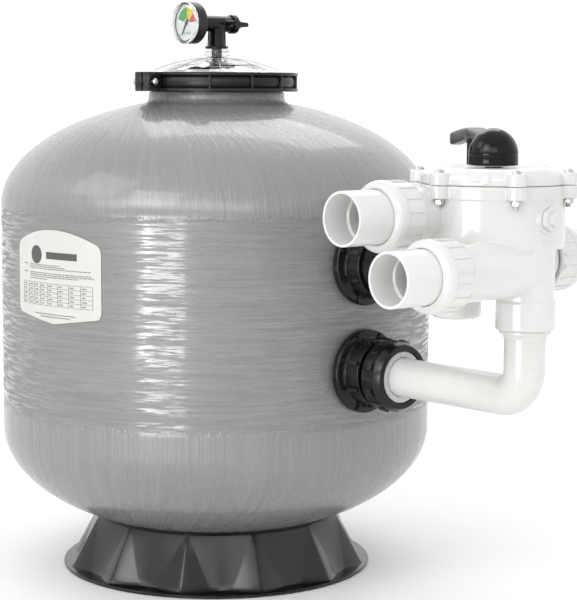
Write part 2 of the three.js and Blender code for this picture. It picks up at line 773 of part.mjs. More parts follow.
function elbowPipe() {
  const run = [
    new THREE.Vector3(PIPE_START_X, 0, LOWER_Z),
    new THREE.Vector3(OUTER_PORT_X, 0, LOWER_Z),
    new THREE.Vector3(OUTER_PORT_X, 0, PIPE_TOP_Z),
    PIPE_BEND_R,
  ];
  const rim = ring(PIPE_R - 1, PIPE_RIM_R, PIPE_TOP_Z - PIPE_RIM, PIPE_TOP_Z)
    .translate(OUTER_PORT_X, 0, 0);
  const bore = bentRod(...run, PIPE_BORE_R, MIDDLE, OVERLAP);
  return combine(bentRod(...run, PIPE_R, MIDDLE), [rim], [bore]);
}

// --- Valve ---

function boltTurn(i) {
  return radians(BOLT_TURN_DEG + (360 * i) / COVER_BOLTS);
}

// One upright rod on each cover bolt's axis: a lobe, or the cutter for a hole through it
function boltRods(radius, z0, z1) {
  const pieces = [];
  for (let i = 0; i < COVER_BOLTS; i += 1) {
    const [x, y] = [LOBE_PITCH_R * Math.cos(boltTurn(i)), LOBE_PITCH_R * Math.sin(boltTurn(i))];
    pieces.push(rod(radius, z0, z1, SMALL).translate(x, y, 0));
  }
  return pieces;
}

// Valve pieces are placed from the valve axis
const fromValve = (x) => x - VALVE_X;

// The threaded stub runs on into the union nut
function stubEnd(union) {
  return union.root + UNION_END_Z;
}

function valveBody() {
  const chamber = rod(BODY_R, BODY_BOTTOM_Z, COVER_Z, LARGE);
  const tankStub = alongX(rod(BULKHEAD_R - 3, UPPER_END_X + GAP, INNER_PORT_X))
    .translate(-VALVE_X, 0, UPPER_Z);
  const plugBoss = alongX(rod(PLUG_BOSS_R, BODY_R - 6, fromValve(PLUG_BOSS_X))).translate(0, 0, PLUG_Z);
  const added = [
    ...boltRods(LOBE_R, BODY_FLANGE_Z, COVER_Z),
    upright(OUTER_PORT_X, OUTER_PORT_R, COLLAR_TOP_Z - OVERLAP, BODY_BOTTOM_Z + OVERLAP),
    upright(OUTER_PORT_X, COLLAR_R, COLLAR_BOTTOM_Z, COLLAR_TOP_Z),
    upright(INNER_PORT_X, INNER_PORT_R, INNER_PORT_BOTTOM_Z, BODY_BOTTOM_Z + OVERLAP),
    tankStub,
    plugBoss,
    ...stubRods(STUB_R, 0),
  ];
  return combine(chamber, added, valveBores());
}

function upright(x, radius, z0, z1) {
  return rod(radius, z0, z1).translate(fromValve(x), 0, 0);
}

function stubRods(radius, past) {
  return UNIONS.map((union) => (
    alongY(rod(radius, 0, stubEnd(union) + past), union.side).translate(fromValve(union.x), 0, union.z)
  ));
}

// Chamber, ports, stubs, plug thread, bolt holes and the room under each bolt's nut
function valveBores() {
  const roof = COVER_Z + CUT_REACH;
  return [
    rod(BODY_BORE_R, BODY_FLOOR_Z, roof, LARGE),
    rod(GASKET_OUTER_R + GAP, COVER_Z - GASKET_THICK - GAP, roof, LARGE),
    upright(OUTER_PORT_X, PORT_BORE_R, COLLAR_BOTTOM_Z - CUT_REACH, BODY_FLOOR_Z + CUT_REACH),
    upright(INNER_PORT_X, PORT_BORE_R, INNER_PORT_BOTTOM_Z + 6, BODY_FLOOR_Z + CUT_REACH),
    alongX(rod(STUB_BORE_R - 2, UPPER_END_X - CUT_REACH, INNER_PORT_X)).translate(-VALVE_X, 0, UPPER_Z),
    alongX(rod(PLUG_THREAD_R + 0.5, 40, 90, SMALL)).translate(0, 0, PLUG_Z),
    ...stubRods(STUB_BORE_R, CUT_REACH),
    ...boltRods(COVER_BOLT_R + BOLT_PLAY, BODY_FLANGE_Z - CUT_REACH, roof),
    ...boltRods(NUT_SPACE_R, BODY_FLANGE_Z - NUT_SPACE_H, BODY_FLANGE_Z),
  ];
}

function valveCover() {
  const base = COVER_Z + GAP;
  const roof = COVER_TOP_Z - COVER_SKIN;
  const shaftBore = SHAFT_R + SHAFT_PLAY;
  const lid = turned([
    [shaftBore, roof], [COVER_INNER_R, roof], [COVER_INNER_R, base],
    [BODY_R, base], [BODY_R, COVER_FLANGE_TOP_Z], [BODY_R - 6, COVER_FLANGE_TOP_Z],
    [COVER_PLATEAU_R, COVER_TOP_Z], [shaftBore, COVER_TOP_Z],
  ], LARGE);
  const holes = boltRods(COVER_BOLT_R + BOLT_PLAY, base - CUT_REACH, COVER_FLANGE_TOP_Z + CUT_REACH);
  return combine(lid, boltRods(LOBE_R, base, COVER_FLANGE_TOP_Z), holes);
}

function coverBolt() {
  const grip = BODY_FLANGE_Z - GAP;
  const top = COVER_FLANGE_TOP_Z + GAP;
  const shank = rod(COVER_BOLT_R, grip - COVER_BOLT_TAIL, top + 1, SMALL);
  const domed = [[0, top], [COVER_HEAD_R, top], [COVER_HEAD_R - 1.3, top + 3], [0, top + 3.6]];
  const head = turned(domed, SMALL);
  return combine(shank, [head, hexagon(COVER_NUT_R, grip - COVER_NUT_H, grip)], []);
}

function valvePlug() {
  const base = fromValve(PLUG_BOSS_X) + GAP;
  const thread = rod(PLUG_THREAD_R, base - PLUG_THREAD, base + 1, SMALL);
  const flange = hexagon(PLUG_FLANGE_R, base, base + PLUG_FLANGE);
  const head = hexagon(PLUG_HEAD_R, base + PLUG_FLANGE - 1, fromValve(REACH_X));
  return alongX(combine(thread, [flange, head], []));
}

// Gasket plate with a wheel of spokes, and the rotor that seals on it
function spiderGasket() {
  const z0 = BODY_FLOOR_Z + GAP;
  const z1 = z0 + GASKET_PLATE;
  const [near, far, half] = [18, 60, 10];
  const windows = [];
  for (let i = 0; i < COVER_BOLTS; i += 1) {
    windows.push(box(near, far, -half, half, z0 - 1, z1 + 1).rotateZ((2 * Math.PI * i) / COVER_BOLTS));
  }
  return combine(rod(BODY_BORE_R - 1, z0, z1, LARGE), [], windows);
}

function rotor() {
  const top = ROTOR_Z + ROTOR_THICK;
  const [near, far] = [16, 50];
  const disc = rod(ROTOR_R, ROTOR_Z, top, GAUGE_SIDES);
  const shaft = rod(SHAFT_R, ROTOR_Z, PIN_Z + PIN_COVER, SMALL);
  const window = box(near, far, -12, 12, ROTOR_Z - 1, top + 1);
  const pocket = box(-far, -near, -25, 25, ROTOR_Z - 1, ROTOR_Z + ROTOR_THICK / 2);
  const pinHole = alongY(rod(PIN_R + GAP, -ROTOR_R, ROTOR_R, SMALL), 1).translate(0, 0, PIN_Z);
  return combine(disc, [shaft], [window, pocket, pinHole]);
}

class Helix extends THREE.Curve {
  constructor(radius, z0, z1, turns) {
    super();
    Object.assign(this, { radius, z0, z1, turns });
  }

  getPoint(t, target = new THREE.Vector3()) {
    const angle = 2 * Math.PI * this.turns * t;
    const z = this.z0 + (this.z1 - this.z0) * t;
    return target.set(this.radius * Math.cos(angle), this.radius * Math.sin(angle), z);
  }
}

function rotorSpring() {
  const z0 = ROTOR_Z + ROTOR_THICK + SPRING_WIRE_R + GAP;
  const z1 = COVER_TOP_Z - COVER_SKIN - SPRING_WIRE_R - GAP;
  return bar(new Helix(SPRING_R, z0, z1, SPRING_TURNS), SPRING_STEPS, SPRING_WIRE_R, SPRING_SIDES);
}

// Lever frame: +X points along the lever, Y is the pin's direction
function leverArm() {
  const side = new THREE.Shape();
  side.moveTo(LEVER_ROOT, LEVER_ROOT_Z);
  side.lineTo(LEVER_ROOT + 10, LEVER_ROOT_Z);
  side.quadraticCurveTo(LEVER_ROOT + 18, LEVER_UNDER_Z, LEVER_MID, LEVER_UNDER_Z);
  side.lineTo(LEVER_REACH, LEVER_TIP_LOW_Z);
  side.lineTo(LEVER_REACH, LEVER_TIP_HIGH_Z);
  side.quadraticCurveTo(LEVER_MID + 24, LEVER_TOP_Z, LEVER_MID, LEVER_TOP_Z);
  side.quadraticCurveTo(LEVER_ROOT + 14, LEVER_TOP_Z, LEVER_ROOT, LEVER_TIP_HIGH_Z);
  const steps = { depth: LEVER_WIDTH, bevelEnabled: false, curveSegments: CURVE_STEPS };
  const arm = new THREE.ExtrudeGeometry(side, steps).rotateX(Math.PI / 2).translate(0, LEVER_WIDTH / 2, 0);
  const bore = CAP_R + GAP;
  const collar = toSolid(ring(bore, WRAP_R, CAP_BASE_Z, WRAP_TOP_Z, GAUGE_SIDES));
  const leverSide = toSolid(box(WRAP_START, 2 * WRAP_R, -2 * WRAP_R, 2 * WRAP_R, 500, 560));
  const wrap = toGeometry(collar.intersect(leverSide));
  const pinHole = alongY(rod(PIN_R + GAP, -WRAP_R, WRAP_R, SMALL), 1).translate(0, 0, PIN_Z);
  const clearance = rod(bore, WRAP_TOP_Z, CAP_TOP_Z + CUT_REACH, GAUGE_SIDES);
  return combine(arm, [wrap, ...leverCheeks()], [pinHole, clearance]);
}

// Two straps that carry the lever to the pin, inside the cap
function leverCheeks() {
  return [-1, 1].map((side) => {
    const [near, far] = [CHEEK_INNER_Y * side, CHEEK_OUTER_Y * side];
    return box(CHEEK_START, WRAP_R, Math.min(near, far), Math.max(near, far), CHEEK_BOTTOM_Z, WRAP_TOP_Z);
  });
}

function handleCap() {
  const inner = CAP_R - CAP_WALL;
  const dome = turned([
    [0, CAP_TOP_Z - CAP_WALL], [10, CAP_TOP_Z - CAP_WALL - 0.5], [CAP_R - 10, 543], [inner - 1.5, 535],
    [inner, CAP_BASE_Z], [CAP_R, CAP_BASE_Z], [CAP_R, 527], [CAP_R - 2, 537],
    [CAP_R - 6.5, 546], [CAP_R - 13, 550.6], [6, CAP_TOP_Z], [0, CAP_TOP_Z],
  ], GAUGE_SIDES);
  const [below, half] = [CAP_BASE_Z - CUT_REACH, CAP_SLOT_HALF];
  const slot = box(0, CAP_R + CUT_REACH, -half, half, below, CAP_SLOT_TOP_Z);
  return combine(dome, [], [slot]);
}

function handleWasher() {
  return ring(SHAFT_R + SHAFT_PLAY, WASHER_R, COVER_TOP_Z + GAP, COVER_TOP_Z + WASHER_THICK);
}

// --- Pipe unions, turned about Z with the mouth up and zero at the nut's rear face ---

function unionNut() {
  const core = PIPE_UNION_R - UNION_GRIP_DEPTH;
  const rear = boreFor(STUB_R, MIDDLE);
  const lip = boreFor(SOCKET_R, MIDDLE);
  const shell = turned([
    [rear, 0], [core, 0], [core, UNION_CORE_Z], [PIPE_UNION_R, UNION_FRONT_Z],
    [PIPE_UNION_R, UNION_SHOULDER_Z], [PIPE_UNION_R - 2, UNION_FLARE_Z], [UNION_MOUTH_R, UNION_LENGTH],
    [lip, UNION_LENGTH], [lip, UNION_LIP_Z + GAP], [rear, UNION_LIP_Z],
  ], MIDDLE);
  const gripEnd = UNION_FRONT_Z - 0.5;
  const grips = gripTeeth(core, UNION_GRIP_DEPTH, UNION_GRIP_WIDTH, UNION_GRIP_START_Z, gripEnd);
  return combine(shell, grips, []);
}

function unionSocket() {
  const foot = UNION_END_Z + PIPE_SEAL_THICK + 2 * GAP;
  const flange = STUB_R - GAP;
  return turned([
    [SOCKET_STOP_R, foot], [flange, foot], [flange, SOCKET_FLANGE_Z], [SOCKET_R, SOCKET_FLANGE_Z + 0.2],
    [SOCKET_R, SOCKET_REACH], [SOCKET_BORE_R, SOCKET_REACH], [SOCKET_BORE_R, SOCKET_STOP_Z],
    [SOCKET_STOP_R, SOCKET_STOP_Z - 0.5],
  ], MIDDLE);
}

function unionSeal() {
  const z = UNION_END_Z + GAP;
  return ring(SOCKET_BORE_R, SOCKET_R + 0.2, z, z + PIPE_SEAL_THICK);
}

function lowerUnionRing() {
  const x = LOWER_END_X + GAP;
  const bore = boreFor(PIPE_R, MIDDLE);
  const flange = BULKHEAD_R - 0.5;
  const neck = UNION_OPENING_R - 2 * GAP;
  const nose = LOWER_NUT_X + UNION_NUT_LENGTH - 1;
  return alongX(turned([
    [bore, x], [flange, x], [flange, x + RING_FLANGE],
    [neck, x + RING_FLANGE + 0.2], [neck, nose], [bore, nose],
  ], MIDDLE));
}

// --- Inside the tank ---

// Pipe from a bulkhead's inner face to the tank axis, bent up or down to endZ
function tankPipe(z, endZ) {
  const run = [
    new THREE.Vector3(BULKHEAD_INNER_FACE_X - GAP, 0, z),
    new THREE.Vector3(0, 0, z),
    new THREE.Vector3(0, 0, endZ),
    RISER_BEND_R,
  ];
  const bore = bentRod(...run, RISER_R - RISER_WALL, RISER_SIDES, OVERLAP);
  return combine(bentRod(...run, RISER_R, RISER_SIDES), [], [bore]);
}

function inletDiffuser() {
  const [z, r, thick] = [DIFFUSER_Z, DIFFUSER_R, 3];
  const dish = turned([[0, z], [r, z - 2 * thick], [r, z - thick], [0, z + thick]], MIDDLE);
  const webs = [0, 1].map((i) => (
    box(-DIFFUSER_WEB_R, DIFFUSER_WEB_R, -thick / 2, thick / 2, DIFFUSER_WEB_Z, z + 1)
      .rotateZ((Math.PI * i) / 2)
  ));
  return combine(tankPipe(UPPER_Z, DIFFUSER_PIPE_Z), [dish, ...webs], []);
}

function lateralHub() {
  const hub = rod(HUB_R, HUB_BOTTOM_Z, HUB_TOP_Z);
  const hollow = rod(RISER_R - RISER_WALL, HUB_FLOOR_Z, HUB_TOP_Z + CUT_REACH);
  const sockets = [];
  for (let i = 0; i < LATERALS; i += 1) {
    const socket = alongX(rod(LATERAL_R + LATERAL_PLAY, LATERAL_START / 2, HUB_R + CUT_REACH, SMALL));
    sockets.push(socket.translate(0, 0, LATERAL_Z).rotateZ((2 * Math.PI * i) / LATERALS));
  }
  return combine(tankPipe(LOWER_Z, HUB_PIPE_Z), [hub], [hollow, ...sockets]);
}

function lateral() {
  const floor = LATERAL_END - 3;
  return alongX(turned([
    [0, floor], [LATERAL_BORE_R, floor], [LATERAL_BORE_R, LATERAL_START], [LATERAL_R, LATERAL_START],
    [LATERAL_R, LATERAL_END], [0, LATERAL_END],
  ], SMALL)).translate(0, 0, LATERAL_Z);
}

// --- Assembly ---

place(filter, 'tank_shell', tankShell(), 'tank');
place(filter, 'neck_ring', neckRing(), 'black');
place(filter, 'base_skirt', footSkirt(), 'black');
place(groupAt(filter, 0, 0, 0, radians(LABEL_TURN_DEG)), 'tank_label', tankLabel(), 'paper');
place(filter, 'inlet_diffuser', inletDiffuser(), 'white');
place(filter, 'lateral_hub', lateralHub(), 'white');
for (let i = 0; i < LATERALS; i += 1) {
  const spoke = groupAt(filter, 0, 0, 0, (2 * Math.PI * i) / LATERALS);
  place(spoke, `lateral_${i + 1}`, lateral(), 'white');
}

place(filter, 'lid', clearLid(), 'clear');
const sealRing = new THREE.TorusGeometry(SEAL_R, SEAL_SECTION_R, SEAL_SIDES, LARGE);
place(filter, 'lid_seal', closed(sealRing), 'rubber').position.z = SEAL_SEAT_Z - SEAL_LIFT;
for (const [name, turn] of [['clamp_half_front', 0], ['clamp_half_back', Math.PI]]) {
  place(groupAt(filter, 0, 0, 0, turn), name, clampHalf(), 'black');
}
for (const [name, side] of [['clamp_bolt_left', -1], ['clamp_bolt_right', 1]]) {
  place(groupAt(filter, 0, side * LUG_Y, CLAMP_MID_Z), name, clampBolt(), 'steel');
}

place(filter, 'gauge_tee', gaugeTee(), 'black');
const knobSpot = groupAt(filter, 0, BARREL_END_Y, GAUGE_Z);
place(knobSpot, 'bleed_knob', bleedKnob().rotateX(-Math.PI / 2), 'black');
const gauge = groupAt(filter, 0, GAUGE_FACE_Y, GAUGE_Z);
gauge.rotation.x = Math.PI / 2;
place(gauge, 'gauge_case', gaugeCase(), 'black');
place(gauge, 'gauge_lens', gaugeLens(), 'clear');
const dial = place(gauge, 'gauge_dial', rod(DIAL_R, 0, DIAL_THICK, GAUGE_SIDES), 'paper');
dial.position.z = -DIAL_DEPTH;
const needle = place(gauge, 'gauge_needle', gaugeNeedle(), 'black');
needle.position.z = -NEEDLE_DEPTH;
needle.rotation.z = radians(NEEDLE_TURN_DEG);

for (const [side, z, endX, nutX] of [
  ['lower', LOWER_Z, LOWER_END_X, LOWER_NUT_X],
  ['upper', UPPER_Z, UPPER_END_X, UPPER_NUT_X],
]) {
  const line = groupAt(filter, 0, 0, z);
  place(line, `${side}_bulkhead`, bulkheadBody(endX), 'black');
  const gasket = ring(GASKET_INNER_R, WALL_GASKET_R, TANK_R + GAP, GASKET_X);
  place(line, `${side}_gasket`, alongX(gasket), 'rubber');
  place(line, `${side}_lock_nut`, lockNut(), 'black').position.x = LOCK_NUT_X;
  place(line, `${side}_union_nut`, bulkheadUnionNut(), 'black').position.x = nutX;
}
place(groupAt(filter, 0, 0, LOWER_Z), 'lower_union_ring', lowerUnionRing(), 'clear');
place(filter, 'elbow_pipe', elbowPipe(), 'white');

const valve = groupAt(filter, VALVE_X, 0, 0);
place(valve, 'valve_body', valveBody(), 'white');
place(valve, 'valve_cover', valveCover(), 'white');
const coverSeal = ring(BODY_BORE_R + GAP, GASKET_OUTER_R, COVER_Z - GASKET_THICK, COVER_Z, LARGE);
place(valve, 'cover_gasket', coverSeal, 'rubber');
for (let i = 0; i < COVER_BOLTS; i += 1) {
  const [x, y] = [LOBE_PITCH_R * Math.cos(boltTurn(i)), LOBE_PITCH_R * Math.sin(boltTurn(i))];
  const spot = groupAt(valve, x, y, 0);
  place(spot, `cover_bolt_${i + 1}`, coverBolt(), 'steel');
}
place(valve, 'valve_plug', valvePlug().translate(0, 0, PLUG_Z), 'white');
place(valve, 'spider_gasket', spiderGasket(), 'rubber');
const selector = groupAt(valve, 0, 0, 0, radians(LEVER_TURN_DEG));
place(selector, 'rotor', rotor(), 'black');
place(selector, 'rotor_spring', rotorSpring(), 'steel');
place(selector, 'handle_washer', handleWasher(), 'steel');
const pin = alongY(rod(PIN_R, -PIN_HALF, PIN_HALF, SMALL), 1);
place(selector, 'handle_pin', pin.translate(0, 0, PIN_Z), 'steel');
place(selector, 'handle_lever', leverArm(), 'grey');
place(selector, 'handle_cap', handleCap(), 'black');

for (const union of UNIONS) {
  const line = groupAt(valve, fromValve(union.x), union.side * union.root, union.z);
  line.rotation.x = union.side > 0 ? -Math.PI / 2 : Math.PI / 2;
  place(line, `${union.name}_nut`, unionNut(), 'white');
  place(line, `${union.name}_socket`, unionSocket(), 'white');
  place(line, `${union.name}_seal`, unionSeal(), 'rubber');
}

export default filter;
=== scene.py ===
# Looks of the sand filter tank: moulded plastic, wound laminate, clear lid, steel bolts.
# Shapes are worked in millimetres in the row frame and scaled to metres when a piece is made.
import math
import bmesh
import bpy
from mathutils import Matrix, Vector


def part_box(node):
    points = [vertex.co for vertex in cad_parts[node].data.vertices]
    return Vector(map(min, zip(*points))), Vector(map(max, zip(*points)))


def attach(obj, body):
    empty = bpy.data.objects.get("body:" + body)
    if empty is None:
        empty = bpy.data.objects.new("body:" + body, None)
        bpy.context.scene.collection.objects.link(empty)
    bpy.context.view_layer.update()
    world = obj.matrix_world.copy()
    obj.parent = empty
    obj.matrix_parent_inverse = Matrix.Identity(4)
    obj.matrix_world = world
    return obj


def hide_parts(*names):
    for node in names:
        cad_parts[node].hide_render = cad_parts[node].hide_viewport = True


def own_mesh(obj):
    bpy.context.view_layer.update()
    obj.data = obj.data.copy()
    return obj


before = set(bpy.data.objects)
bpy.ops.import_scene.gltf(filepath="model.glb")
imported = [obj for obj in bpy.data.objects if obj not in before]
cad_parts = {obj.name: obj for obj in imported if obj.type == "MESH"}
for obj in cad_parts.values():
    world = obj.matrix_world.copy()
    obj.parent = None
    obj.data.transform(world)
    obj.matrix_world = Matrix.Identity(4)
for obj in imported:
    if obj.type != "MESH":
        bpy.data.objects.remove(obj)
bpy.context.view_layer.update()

PI = math.pi
TAU = 2 * PI
cos, sin, rad = math.cos, math.sin, math.radians


# ---------- where things are ----------

def node_box(name):
    lo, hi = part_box(name)
    return lo * 1000, hi * 1000


def middle(name):
    lo, hi = node_box(name)
    return (lo + hi) / 2


TANK_LO, TANK_HI = node_box("tank_shell")
TX = (TANK_LO.x + TANK_HI.x) / 2
TANK_R = (TANK_HI.x - TANK_LO.x) / 2
VX = middle("valve_cover").x
OUTER_X = node_box("elbow_pipe")[1].x - 27.0
ALONG_X = (1, 0, 0)


# ---------- meshes ----------

def turn_to(origin, z_axis, x_axis=(1, 0, 0)):
    """Matrix that lays local +Z along z_axis, at origin."""
    z = Vector(z_axis).normalized()
    x = Vector(x_axis)
    x = (x - z * x.dot(z)).normalized()
    y = z.cross(x)
    m = Matrix((x, y, z)).transposed().to_4x4()
    m.translation = Vector(origin)
    return m


def shift(x=0, y=0, z=0):
    return Matrix.Translation((x, y, z))


def spin(angle):
    return Matrix.Rotation(angle, 4, "Z")


def lathe(profile, segs=96, closed=False):
    """Turned form about Z from (radius, height) points; closed joins the last point to the first."""
    bm = bmesh.new()
    rings = []
    for r, z in profile:
        if r < 1e-6:
            rings.append([bm.verts.new((0, 0, z))])
        else:
            turns = [TAU * i / segs for i in range(segs)]
            rings.append([bm.verts.new((r * cos(a), r * sin(a), z)) for a in turns])
    pairs = list(zip(rings, rings[1:]))
    if closed:
        pairs.append((rings[-1], rings[0]))
    for a, b in pairs:
        for i in range(segs):
            j = (i + 1) % segs
            loop = [a[i % len(a)], a[j % len(a)], b[j % len(b)], b[i % len(b)]]
            loop = [v for k, v in enumerate(loop) if v not in loop[:k]]
            if len(loop) > 2:
                bm.faces.new(loop)
    bmesh.ops.recalc_face_normals(bm, faces=bm.faces)
    return bm


def rounded(points, radius, steps=4):
    """Open profile whose inner corners are rounded."""
    out = [points[0]]
    for p, q, s in zip(points, points[1:], points[2:]):
        a, b, c = Vector(p), Vector(q), Vector(s)
        reach = min(radius, (a - b).length * 0.45, (c - b).length * 0.45)
        start, end = b + (a - b).normalized() * reach, b + (c - b).normalized() * reach
        for k in range(steps + 1):
            t = k / steps
            out.append(tuple(start * (1 - t) ** 2 + b * 2 * t * (1 - t) + end * t * t))
    out.append(points[-1])
    return out


def rounded_ring(points, radius, steps=4):
    """Closed profile with every corner rounded."""
    full = rounded([points[-1]] + list(points) + [points[0]], radius, steps)
    return full[1:-1]


def turned(points, radius, steps, segs):
    """Turned solid from an open profile whose corners are rounded."""
    return lathe(rounded(points, radius, steps), segs)


def turned_ring(points, radius, steps, segs):
    """Turned ring from a closed profile whose corners are rounded."""
    return lathe(rounded_ring(points, radius, steps), segs, True)


def rod(radius, z0, z1, segs):
    return lathe([(0, z0), (radius, z0), (radius, z1), (0, z1)], segs)


def block(x0, x1, y0, y1, z0, z1):
    bm = bmesh.new()
    bmesh.ops.create_cube(bm, size=1)
    spans = ((x0, x1), (y0, y1), (z0, z1))
    for v in bm.verts:
        v.co = [(a + b) / 2 + t * (b - a) for t, (a, b) in zip(v.co, spans)]
    return bm


def soft_block(x0, x1, y0, y1, z0, z1, edge):
    """Block with rounded edges."""
    bm = block(x0, x1, y0, y1, z0, z1)
    bmesh.ops.bevel(bm, geom=list(bm.edges), offset=edge, segments=2, affect="EDGES")
    return bm


def prism(outline, z0, z1):
    """Solid over an (x, y) outline from z0 to z1."""
    bm = bmesh.new()
    low = [bm.verts.new((x, y, z0)) for x, y in outline]
    high = [bm.verts.new((x, y, z1)) for x, y in outline]
    bm.faces.new(low[::-1])
    bm.faces.new(high)
    for i in range(len(outline)):
        j = (i + 1) % len(outline)
        bm.faces.new((low[i], low[j], high[j], high[i]))
    bmesh.ops.recalc_face_normals(bm, faces=bm.faces)
    return bm


def bridge(bm, rings, closed=False):
    """Quads between neighbouring rings; closed also joins the last ring to the first."""
    for a, b in zip(rings, rings[1:] + (rings[:1] if closed else [])):
        for k in range(len(a)):
            j = (k + 1) % len(a)
            bm.faces.new((a[k], a[j], b[j], b[k]))


def sweep(points, radius, sides=48, up=(0, 1, 0)):
    """Round bar through points."""
    bm = bmesh.new()
    circle = [(radius * cos(TAU * k / sides), radius * sin(TAU * k / sides), 0) for k in range(sides)]
    rings = []
    for i, p in enumerate(points):
        a = Vector(points[max(i - 1, 0)])
        b = Vector(points[min(i + 1, len(points) - 1)])
        m = turn_to(p, b - a, up)
        rings.append([bm.verts.new(m @ Vector(c)) for c in circle])
    bridge(bm, rings)
    bm.faces.new(rings[0][::-1])
    bm.faces.new(rings[-1])
    bmesh.ops.recalc_face_normals(bm, faces=bm.faces)
    return bm


def moved(bm, matrix):
    bmesh.ops.transform(bm, matrix=matrix, verts=bm.verts)
    if matrix.determinant() < 0:
        bmesh.ops.reverse_faces(bm, faces=bm.faces)
    return bm


def along_x(x, z):
    """Placement along +X from the tank's centre plane."""
    return turn_to((x, 0, z), (1, 0, 0), (0, 0, 1))


def around(count, start, make):
    """Copies of a part spaced evenly about Z, the first of them start steps past +X."""
    return [moved(make(), spin(TAU * (k + start) / count)) for k in range(count)]


def joined(parts):
    out = bmesh.new()
    for bm in parts:
        mesh = bpy.data.meshes.new("part")
        bm.to_mesh(mesh)
        bm.free()
        out.from_mesh(mesh)
        bpy.data.meshes.remove(mesh)
    return out


def temp_object(bm, name="temp"):
    mesh = bpy.data.meshes.new(name)
    bm.to_mesh(mesh)
    bm.free()
    obj = bpy.data.objects.new(name, mesh)
    bpy.context.scene.collection.objects.link(obj)
    return obj


def evaluated(obj):
    """bmesh of the object with its modifiers applied; the object is removed."""
    bpy.context.view_layer.update()
    dg = bpy.context.evaluated_depsgraph_get()
    bm = bmesh.new()
    mesh = bpy.data.meshes.new_from_object(obj.evaluated_get(dg))
    bm.from_mesh(mesh)
    bpy.data.meshes.remove(mesh)
    old = obj.data
    bpy.data.objects.remove(obj)
    bpy.data.meshes.remove(old)
    return bm


def carve(bm, cutters, operation="DIFFERENCE"):
    obj = temp_object(bm)
    others = []
    for i, cutter in enumerate(cutters):
        other = temp_object(cutter, "cutter")
        others.append(other)
        mod = obj.modifiers.new(f"cut{i}", "BOOLEAN")
        mod.object = other
        mod.operation = operation
        mod.solver = "EXACT"
    result = evaluated(obj)
    for other in others:
        mesh = other.data
        bpy.data.objects.remove(other)
        bpy.data.meshes.remove(mesh)
    return result


def fused(parts, voxel, smooth=6, factor=0.5):
    """One skin over overlapping solids, with small moulded fillets where they meet."""
    obj = temp_object(joined(parts))
    mod = obj.modifiers.new("fuse", "REMESH")
    mod.mode = "VOXEL"
    mod.voxel_size = voxel
    if smooth:
        mod = obj.modifiers.new("smooth", "SMOOTH")
        mod.iterations = smooth
        mod.factor = factor
    return evaluated(obj)


def piece(name, bm, material, body, replaces=(), bevel=0, segments=2, angle=32, bevel_angle=30):
    """A finished piece in metres that rides on a body."""
    obj = temp_object(bm, name)
    if bevel:
        mod = obj.modifiers.new("bevel", "BEVEL")
        mod.width = bevel
        mod.segments = segments
        mod.limit_method = "ANGLE"
        mod.angle_limit = rad(bevel_angle)
        mod.harden_normals = False
        bm = evaluated(obj)
        obj = temp_object(bm, name)
    obj.name = name
    obj.data.name = name
    obj.data.transform(Matrix.Scale(0.001, 4))
    for p in obj.data.polygons:
        p.use_smooth = True
    obj.data.set_sharp_from_angle(angle=rad(angle))
    obj.data.materials.append(material)
    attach(obj, body)
    if replaces:
        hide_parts(*replaces)
    return obj


# ---------- materials ----------

class Paint:
    """Small helper that lays out a node material."""

    def __init__(self, name):
        self.mat = bpy.data.materials.new(name)
        self.mat.use_nodes = True
        self.tree = self.mat.node_tree
        self.bsdf = self.tree.nodes["Principled BSDF"]
        self.place = self.add("TexCoord").outputs["Object"]

    def add(self, kind, inputs=None, **props):
        node = self.tree.nodes.new("ShaderNode" + kind)
        for key, value in props.items():
            setattr(node, key, value)
        for key, value in (inputs or {}).items():
            self.feed(node.inputs[key], value)
        return node

    def feed(self, socket, value):
        if isinstance(value, bpy.types.NodeSocket):
            self.tree.links.new(value, socket)
        else:
            socket.default_value = value

    def math(self, operation, a, b=0.0, c=0.0, clamp=False):
        return self.add("Math", {0: a, 1: b, 2: c}, operation=operation, use_clamp=clamp).outputs[0]

    def vector(self, operation, a, b=(0, 0, 0)):
        return self.add("VectorMath", {0: a, 1: b}, operation=operation).outputs[0]

    def noise(self, scale, detail=4.0, rough=0.55, at=None):
        inputs = {"Vector": at or self.place, "Scale": scale, "Detail": detail, "Roughness": rough}
        return self.add("TexNoise", inputs).outputs["Fac"]

    def ramp(self, value, low, high, out_low=0.0, out_high=1.0):
        inputs = {0: value, 1: low, 2: high, 3: out_low, 4: out_high}
        return self.add("MapRange", inputs, clamp=True).outputs[0]

    def mix(self, factor, a, b):
        node = self.add("Mix", data_type="RGBA")
        self.feed(node.inputs[0], factor)
        self.feed(node.inputs[6], a)
        self.feed(node.inputs[7], b)
        return node.outputs[2]

    def set(self, **values):
        names = {
            "color": "Base Color", "rough": "Roughness", "metal": "Metallic", "normal": "Normal",
            "ior": "IOR", "coat": "Coat Weight", "coat_rough": "Coat Roughness",
            "clear": "Transmission Weight", "specular": "Specular IOR Level",
        }
        for key, value in values.items():
            self.feed(self.bsdf.inputs[names[key]], value)
        return self

    def bump(self, height, distance, strength=1.0, after=None):
        inputs = {"Height": height, "Distance": distance, "Strength": strength}
        if after is not None:
            inputs["Normal"] = after
        return self.add("Bump", inputs).outputs["Normal"]


def shade(color, k):
    return tuple(min(1.0, c * k) for c in color[:3]) + (1.0,)


